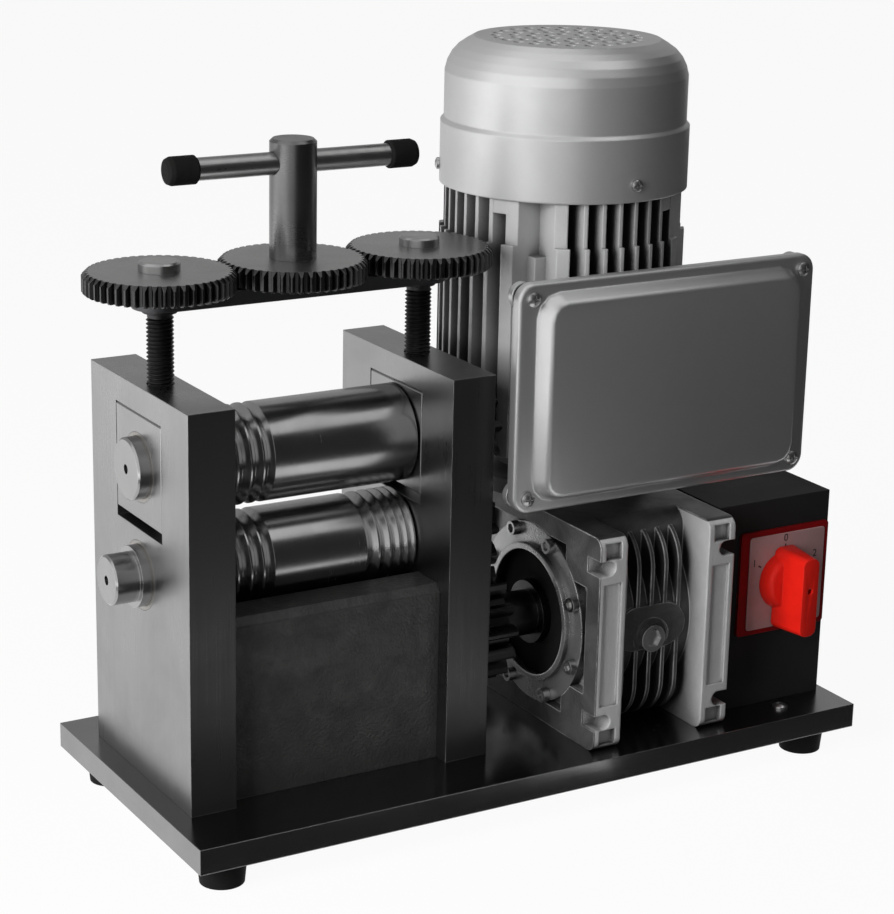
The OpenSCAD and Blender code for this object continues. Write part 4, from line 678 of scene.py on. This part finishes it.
wear_on(cast_aluminium, "motor_flange", "motor_housing", "rear_shield")
wear_on(raw_casting, "gearbox_housing")
wear_on(machined_cover, "gearbox_cover")
wear_on(grey_paint, "capacitor_box", "box_lid")
wear_on(cowl_paint, "fan_cowl")
wear_on(black_paint, "switch_box")
print("castings and paint laid on")

# %% [markdown]
# The last finishes are rubber and plastic. Rubber is nearly black and dull,
# with a dusty bloom. The switch is moulded in red: a dark red surround and a
# bright knob, whose colour sits inside the plastic and so does not wear.

# %% Rubber and plastic
black_rubber = finish(
    "black_rubber", (0.009, 0.009, 0.009), (0.014, 0.0138, 0.0135), (0.04, 0.04, 0.04),
    0.0, (0.55, 0.75), radius=0.0010, skin=1800.0, skin_depth=0.00005,
    cloud_scale=60.0, wear=0.4, specular=0.05)
black_plastic = finish(
    "black_moulded_plastic", (0.020, 0.020, 0.021), (0.028, 0.028, 0.029), (0.07, 0.07, 0.07),
    0.0, (0.32, 0.46), radius=0.0006, skin=1600.0, skin_depth=0.00003, cloud_scale=60.0)
red_plastic = finish(
    "bright_red_plastic", (0.72, 0.015, 0.008), (0.64, 0.012, 0.007), (0.80, 0.05, 0.03),
    0.0, (0.28, 0.38), radius=0.0008, skin=1200.0, skin_depth=0.00002,
    cloud_scale=70.0, wear=0.3, specular=0.25)
dark_red_plastic = finish(
    "dark_red_plastic", (0.24, 0.004, 0.006), (0.18, 0.004, 0.005), (0.34, 0.02, 0.02),
    0.0, (0.34, 0.46), radius=0.0006, skin=1400.0, skin_depth=0.00002, cloud_scale=70.0,
    specular=0.15)
pale_plastic = finish(
    "pale_moulded_plastic", (0.62, 0.60, 0.54), (0.54, 0.52, 0.47), (0.70, 0.68, 0.62),
    0.0, (0.35, 0.5), radius=0.0008, skin=1200.0, skin_depth=0.00003, cloud_scale=50.0)
lamination = finish(
    "stacked_lamination_steel", (0.20, 0.20, 0.21), (0.14, 0.14, 0.15), (0.40, 0.40, 0.40),
    1.0, (0.40, 0.55), radius=0.0004, lines=(20.0, 20.0, 2000.0), line_depth=0.00005)
wear_on(black_rubber, "rubber_feet", "bar_caps", "oil_seal", "box_gasket")
wear_on(black_plastic, "cable_gland", "cooling_fan")
wear_on(dark_red_plastic, "switch_plate")
wear_on(red_plastic, "switch_knob")
wear_on(pale_plastic, "switch_body", "capacitors")
wear_on(lamination, "stator_core", "rotor_core")
print("rubber and plastic laid on")

# %% [markdown]
# Now the pieces that are modelled by hand. Each starts from a primitive, is
# shaped in edit mode, and is handed to the body that it moves with. A few
# helpers keep these steps short: one picks faces by their place, one turns a
# profile on the lathe, and one puts a finished piece into the machine.

# %% Helpers for modelling
SMOOTH_ANGLE = math.radians(32)
SAME_POINT = 0.000002


def leave_edit():
    bpy.ops.object.mode_set(mode="OBJECT")


def deselect():
    """Select nothing, in object mode."""
    if bpy.context.object and bpy.context.object.mode != "OBJECT":
        leave_edit()
    bpy.ops.object.select_all(action="DESELECT")


def only(obj):
    """Select one object and make it the active one."""
    deselect()
    obj.select_set(True)
    bpy.context.view_layer.objects.active = obj


def settle(obj):
    """Put an object's place, turn and scale into its mesh."""
    only(obj)
    bpy.ops.object.transform_apply(location=True, rotation=True, scale=True)
    return obj


def edit(obj):
    """Enter edit mode on one object, with all of it selected."""
    only(obj)
    bpy.ops.object.mode_set(mode="EDIT")
    bpy.ops.mesh.select_all(action="SELECT")


def apply_all(obj):
    """Apply every modifier, in order."""
    only(obj)
    for modifier in list(obj.modifiers):
        bpy.ops.object.modifier_apply(modifier=modifier.name)


def pick_none(kind):
    """Leave edit mode with nothing selected, ready to pick faces or edges."""
    bpy.ops.mesh.select_mode(type=kind)
    bpy.ops.mesh.select_all(action="DESELECT")
    leave_edit()


def pick_faces(obj, test):
    """In edit mode, select the faces whose centre passes a test."""
    pick_none("FACE")
    for face in obj.data.polygons:
        face.select = test(face.center)
    bpy.ops.object.mode_set(mode="EDIT")


def pick_edges(obj, test):
    """In edit mode, select the edges whose two ends pass a test."""
    pick_none("EDGE")
    for edge in obj.data.edges:
        first, second = (obj.data.vertices[i].co for i in edge.vertices)
        edge.select = test(first, second)
    bpy.ops.object.mode_set(mode="EDIT")


def close_up():
    """In edit mode, merge doubles, cap open ends and turn the faces outwards."""
    bpy.ops.mesh.select_all(action="SELECT")
    bpy.ops.mesh.remove_doubles(threshold=SAME_POINT)
    bpy.ops.mesh.select_all(action="SELECT")
    bpy.ops.mesh.fill_holes(sides=0)
    bpy.ops.mesh.select_all(action="SELECT")
    bpy.ops.mesh.normals_make_consistent(inside=False)


def turned(name, profile, sides=48):
    """Lathe work: extrude a circle up through (radius, height) steps, in millimetres."""
    deselect()
    radius, height = profile[0]
    bpy.ops.mesh.primitive_circle_add(vertices=sides, radius=radius * MM, fill_type="NGON",
                                      location=(0.0, 0.0, height * MM))
    obj = settle(bpy.context.object)
    obj.name = name
    edit(obj)
    for wide, high in profile[1:]:
        bpy.ops.mesh.extrude_region_move(
            TRANSFORM_OT_translate={"value": (0.0, 0.0, (high - height) * MM)})
        grow = wide / radius
        bpy.ops.transform.resize(value=(grow, grow, 1.0), center_override=(0.0, 0.0, high * MM))
        radius, height = wide, high
    close_up()
    leave_edit()
    return obj


def joined(name, *parts):
    """One object from several."""
    deselect()
    for part in parts:
        part.select_set(True)
    bpy.context.view_layer.objects.active = parts[0]
    bpy.ops.object.join()
    parts[0].name = name
    return parts[0]


def fit(piece, body, material, slot, *stands_for):
    """Finish a piece: its material, the body it rides on, and the nodes it replaces."""
    only(piece)
    bpy.ops.object.shade_smooth_by_angle(angle=SMOOTH_ANGLE)
    piece.data.materials.clear()
    piece.data.materials.append(material)
    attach(piece, body)
    if stands_for:
        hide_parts(*stands_for)
    print(piece.name, "has", len(piece.data.polygons), "faces and rides on", body)


print("helpers are ready")

# %% [markdown]
# The two adjusting screws carry a cut thread. Rings would look nearly the same
# from afar, but a real thread climbs, so a V of two edges is swept up a helix
# with the Screw modifier. The V starts as a triangle, is scaled to the depth and
# the pitch of the thread, and loses its third edge. The plain tip, the collar
# and the neck are turned on the lathe and joined to it. The crest stays inside
# the plain shank of the solid model, so the thread never touches its upright.

# %% The threaded adjusting screws
THREAD_LOW, THREAD_HIGH, PITCH = 224.6, 273.9, 2.1
CREST, ROOT, ROOT_PLAY = 6.95, 5.75, 0.1
TRIANGLE_DEEP, TRIANGLE_WIDE = 1.5, math.sqrt(3.0)
STEPS_PER_TURN = 28
TIP = [(4.5, 216.1), (4.95, 216.6), (4.95, 223.9), (6.4, 224.0), (6.4, 226.4)]
COLLAR = [(6.3, 272.0), (6.3, 274.45), (8.7, 274.5), (8.95, 274.8),
          (8.95, 276.6), (8.7, 276.85), (5.95, 276.9), (5.95, 298.3)]
SCREW_X, SCREW_Y = {"left": 24.5, "right": 171.5}, 95.55


def thread_helix():
    """A V swept up a helix about the Z axis."""
    deselect()
    bpy.ops.mesh.primitive_circle_add(vertices=3, radius=1.0,
                                      rotation=(0.0, 0.0, -QUARTER_TURN))
    obj = settle(bpy.context.object)
    obj.rotation_euler = (QUARTER_TURN, 0.0, 0.0)
    obj.scale = ((CREST - ROOT) * MM / TRIANGLE_DEEP, PITCH * MM / TRIANGLE_WIDE, 1.0)
    obj.location = ((ROOT + (CREST - ROOT) / 3.0) * MM, 0.0, (THREAD_LOW + PITCH / 2) * MM)
    edit(settle(obj))
    at_root = (ROOT + ROOT_PLAY) * MM
    pick_edges(obj, lambda first, second: first.x < at_root and second.x < at_root)
    bpy.ops.mesh.delete(type="EDGE")
    leave_edit()
    helix = obj.modifiers.new("helix", "SCREW")
    helix.axis = "Z"
    helix.screw_offset = PITCH * MM
    helix.iterations = int((THREAD_HIGH - THREAD_LOW) / PITCH) - 1
    helix.steps = helix.render_steps = STEPS_PER_TURN
    helix.use_smooth_shade = False
    apply_all(obj)
    edit(obj)
    close_up()
    leave_edit()
    return obj


def adjusting_screw():
    """The thread with its tip, its collar and its neck."""
    tip = turned("tip", TIP)
    collar = turned("collar", COLLAR)
    return joined("adjusting_screw", thread_helix(), tip, collar)


def copy_of(piece, name, shift):
    """A copy with its own mesh, moved by a vector in metres."""
    only(piece)
    bpy.ops.object.duplicate(linked=False)
    copy = bpy.context.object
    copy.name = name
    copy.location = shift
    return settle(copy)


pattern_screw = adjusting_screw()
for side, x in SCREW_X.items():
    screw = copy_of(pattern_screw, side + "_threaded_screw", at(x, SCREW_Y, 0.0))
    fit(screw, side + "_adjuster", thread_steel, "black_steel", side + "_screw")
bpy.data.objects.remove(pattern_screw)

# %% [markdown]
# The lid is a pressing: a flat rim with rounded corners, and a raised panel
# with steep sides, whose edges roll over softly instead of breaking. A plane is
# bevelled at its corners for the outline, Solidify gives the rim its thickness,
# and the panel climbs in a few insets of changing slope, which is how a press
# tool shapes it. Its corners are cut wide, to leave room for the screws.

# %% The pressed lid
LID_X, LID_Z, LID_WIDE, LID_HIGH = 185.75, 167.05, 185.9, 120.9
RIM_FRONT, RIM_BACK, RIM_ROUND = 18.55, 26.0, 9.0
PANEL_X, PANEL_Z, PANEL_SUNK, PANEL_ROUND = 10.6, 5.4, 0.4, 13.0
PANEL_STEPS = ((0.2, 1.0), (0.5, 1.0), (2.5, 5.4), (0.7, 0.9), (0.7, 0.55), (0.6, 0.3),
               (0.5, 0.1))
SQUARE_EDGE = math.radians(50)


def front_sheet(name, x0, z0, wide, high, y, round_by, steps):
    """A sheet that faces the front, with rounded corners."""
    deselect()
    bpy.ops.mesh.primitive_plane_add(size=1.0, rotation=(QUARTER_TURN, 0.0, 0.0))
    obj = bpy.context.object
    obj.name = name
    obj.scale = (wide * MM, high * MM, 1.0)
    obj.location = at(x0 + wide / 2, y, z0 + high / 2)
    edit(settle(obj))
    bpy.ops.mesh.bevel(offset=round_by * MM, segments=steps, affect="VERTICES")
    leave_edit()
    return obj


def thicken(sheet, thickness):
    """Give a sheet its thickness, backwards from its face."""
    wall = sheet.modifiers.new("wall", "SOLIDIFY")
    wall.thickness = thickness * MM
    wall.offset = -1.0


def soften(piece, width, steps, sharper_than):
    """Round the edges that are sharper than an angle."""
    soft = piece.modifiers.new("soft", "BEVEL")
    soft.width = width * MM
    soft.segments = steps
    soft.limit_method = "ANGLE"
    soft.angle_limit = sharper_than


rim = front_sheet("rim", LID_X, LID_Z, LID_WIDE, LID_HIGH, RIM_FRONT, RIM_ROUND, 8)
thicken(rim, RIM_BACK - RIM_FRONT)
soften(rim, 2.0, 4, SQUARE_EDGE)
apply_all(rim)

panel = front_sheet("panel", LID_X + PANEL_X, LID_Z + PANEL_Z, LID_WIDE - 2 * PANEL_X,
                    LID_HIGH - 2 * PANEL_Z, RIM_FRONT + PANEL_SUNK, PANEL_ROUND, 3)
edit(panel)
for run, rise in PANEL_STEPS:
    bpy.ops.mesh.inset(thickness=run * MM, depth=rise * MM)
close_up()
leave_edit()
lid = joined("pressed_lid", rim, panel)
fit(lid, "frame", grey_paint, "grey_paint", "box_lid")

# %% [markdown]
# The switch has a printed dial that clips over the plate's screws, so the
# screws are hidden on the real machine too. It is a thin sheet, made as the rim
# of the lid was: a plane, bevelled at its corners and thickened with Solidify.

# %% The dial
KNOB_X, KNOB_Z, PLATE_FRONT = 368.5, 102.0, 25.0
DIAL_LEFT, DIAL_BELOW, DIAL_WIDE, DIAL_TALL = 24.4, 27.2, 51.6, 54.4
DIAL_THICK, DIAL_ROUND = 0.7, 2.0
dial_grey = finish(
    "printed_dial_grey", (0.46, 0.27, 0.27), (0.40, 0.23, 0.23), (0.52, 0.34, 0.34),
    0.0, (0.42, 0.52), radius=0.0004, skin=2000.0, skin_depth=0.00001,
    cloud_scale=60.0, wear=0.2)
dial_ink = finish(
    "dial_ink", (0.020, 0.018, 0.020), (0.028, 0.025, 0.028), (0.04, 0.04, 0.04),
    0.0, (0.45, 0.55), radius=0.0001, cloud_scale=90.0, wear=0.2)

dial = front_sheet("dial_face", KNOB_X - DIAL_LEFT, KNOB_Z - DIAL_BELOW, DIAL_WIDE, DIAL_TALL,
                   PLATE_FRONT - DIAL_THICK, DIAL_ROUND, 4)
thicken(dial, DIAL_THICK)
soften(dial, 0.25, 2, SQUARE_EDGE)
apply_all(dial)
fit(dial, "frame", dial_grey, "red_plastic", "plate_screws")

# %% [markdown]
# Only plain position numbers and ticks are printed on the dial. Text is made a
# mesh at once, because a mesh can be placed, joined and coloured like any other
# piece. The marks stand a hair proud of the dial, so that they never sink in it.

# %% The marks on the dial
POSITIONS = (("1", -60), ("0", 0), ("2", 60))
NUMBER_REACH, NUMBER_TALL, NUMBER_Y = 24.2, 6.0, PLATE_FRONT - 0.74
TICK_NEAR, TICK_FAR, TICK_WIDE, TICK_Y = 18.6, 20.8, 0.9, PLATE_FRONT - 0.72
NUMBER_RELIEF, TICK_THICK, TICK_BREAK = 0.06, 0.12, 0.04


def on_dial(degrees, reach, y):
    """A place on the dial, at an angle from the top."""
    angle = math.radians(degrees)
    return at(KNOB_X + reach * math.sin(angle), y, KNOB_Z + reach * math.cos(angle))


def dial_number(label, degrees):
    """A number on the dial."""
    deselect()
    bpy.ops.object.text_add()
    word = bpy.context.object
    word.data.body = label
    word.data.size = NUMBER_TALL * MM
    word.data.align_x = "CENTER"
    word.data.align_y = "CENTER"
    word.data.extrude = NUMBER_RELIEF * MM
    bpy.ops.object.convert(target="MESH")
    word = bpy.context.object
    word.rotation_euler = (QUARTER_TURN, 0.0, 0.0)
    word.location = on_dial(degrees, NUMBER_REACH, NUMBER_Y)
    return settle(word)


def dial_tick(degrees):
    """A tick on the dial: a thin block with its edges broken."""
    deselect()
    bpy.ops.mesh.primitive_cube_add(size=1.0)
    tick = bpy.context.object
    tick.scale = (TICK_WIDE * MM, TICK_THICK * MM, (TICK_FAR - TICK_NEAR) * MM)
    tick.rotation_euler = (0.0, math.radians(degrees), 0.0)
    tick.location = on_dial(degrees, (TICK_NEAR + TICK_FAR) / 2, TICK_Y)
    edit(settle(tick))
    bpy.ops.mesh.bevel(offset=TICK_BREAK * MM, segments=1, affect="EDGES")
    leave_edit()
    return tick


dial_marks = [dial_number(label, degrees) for label, degrees in POSITIONS]
dial_marks += [dial_tick(degrees) for label, degrees in POSITIONS]
printing = joined("dial_marks", *dial_marks)
fit(printing, "frame", dial_ink, "black_plastic")

# %% [markdown]
# The knob is one moulding: a round skirt with a fin of a grip across it. The
# skirt is turned; the grip is a block that is tapered towards its nose and
# rounded with a bevel, and the two are made one skin with a Boolean union. A
# second Boolean sinks the hole of the fixing screw into the nose.

# %% The knob
SKIRT_BACK, GRIP_BACK, NOSE = 24.8, 23.6, 0.4
SKIRT = [(16.2, 0.0), (16.9, 0.5), (16.9, 2.2), (15.6, 5.4), (14.6, 7.9), (13.6, 8.7),
         (12.4, 9.0)]
GRIP_WIDE, GRIP_TALL, GRIP_Z, GRIP_ROUND = 15.4, 47.3, 98.2, 4.2
NOSE_TAPER, NOSE_PLAY = (0.70, 1.0, 0.95), 0.0005
SCREW_HOLE = [(1.7, -1.0), (1.7, 7.0)]
MOULD_EDGE = math.radians(38)

skirt = turned("skirt", SKIRT, 64)
skirt.rotation_euler = (QUARTER_TURN, 0.0, 0.0)
skirt.location = at(KNOB_X, SKIRT_BACK, KNOB_Z)
settle(skirt)

deselect()
bpy.ops.mesh.primitive_cube_add(size=1.0)
grip = bpy.context.object
grip.scale = (GRIP_WIDE * MM, (GRIP_BACK - NOSE) * MM, GRIP_TALL * MM)
grip.location = at(KNOB_X, (GRIP_BACK + NOSE) / 2, GRIP_Z)
edit(settle(grip))
nose = at(KNOB_X, NOSE, GRIP_Z)
pick_faces(grip, lambda centre: abs(centre.y - nose.y) < NOSE_PLAY)
bpy.ops.transform.resize(value=NOSE_TAPER, center_override=tuple(nose))
pick_edges(grip, lambda first, second: abs((second - first).normalized().y) > 0.8)
bpy.ops.mesh.bevel(offset=GRIP_ROUND * MM, segments=6, affect="EDGES")
leave_edit()

screw_hole = turned("screw_hole", SCREW_HOLE, 20)
screw_hole.rotation_euler = (-QUARTER_TURN, 0.0, 0.0)
screw_hole.location = at(KNOB_X, NOSE, KNOB_Z)
settle(screw_hole)

for label, operation, tool in (("one_skin", "UNION", skirt),
                               ("screw_hole", "DIFFERENCE", screw_hole)):
    cut = grip.modifiers.new(label, "BOOLEAN")
    cut.operation = operation
    cut.solver = "EXACT"
    cut.object = tool
soften(grip, 1.1, 3, MOULD_EDGE)
apply_all(grip)
bpy.data.objects.remove(skirt)
bpy.data.objects.remove(screw_hole)
grip.name = "moulded_knob"
fit(grip, "selector", red_plastic, "red_plastic", "switch_knob")
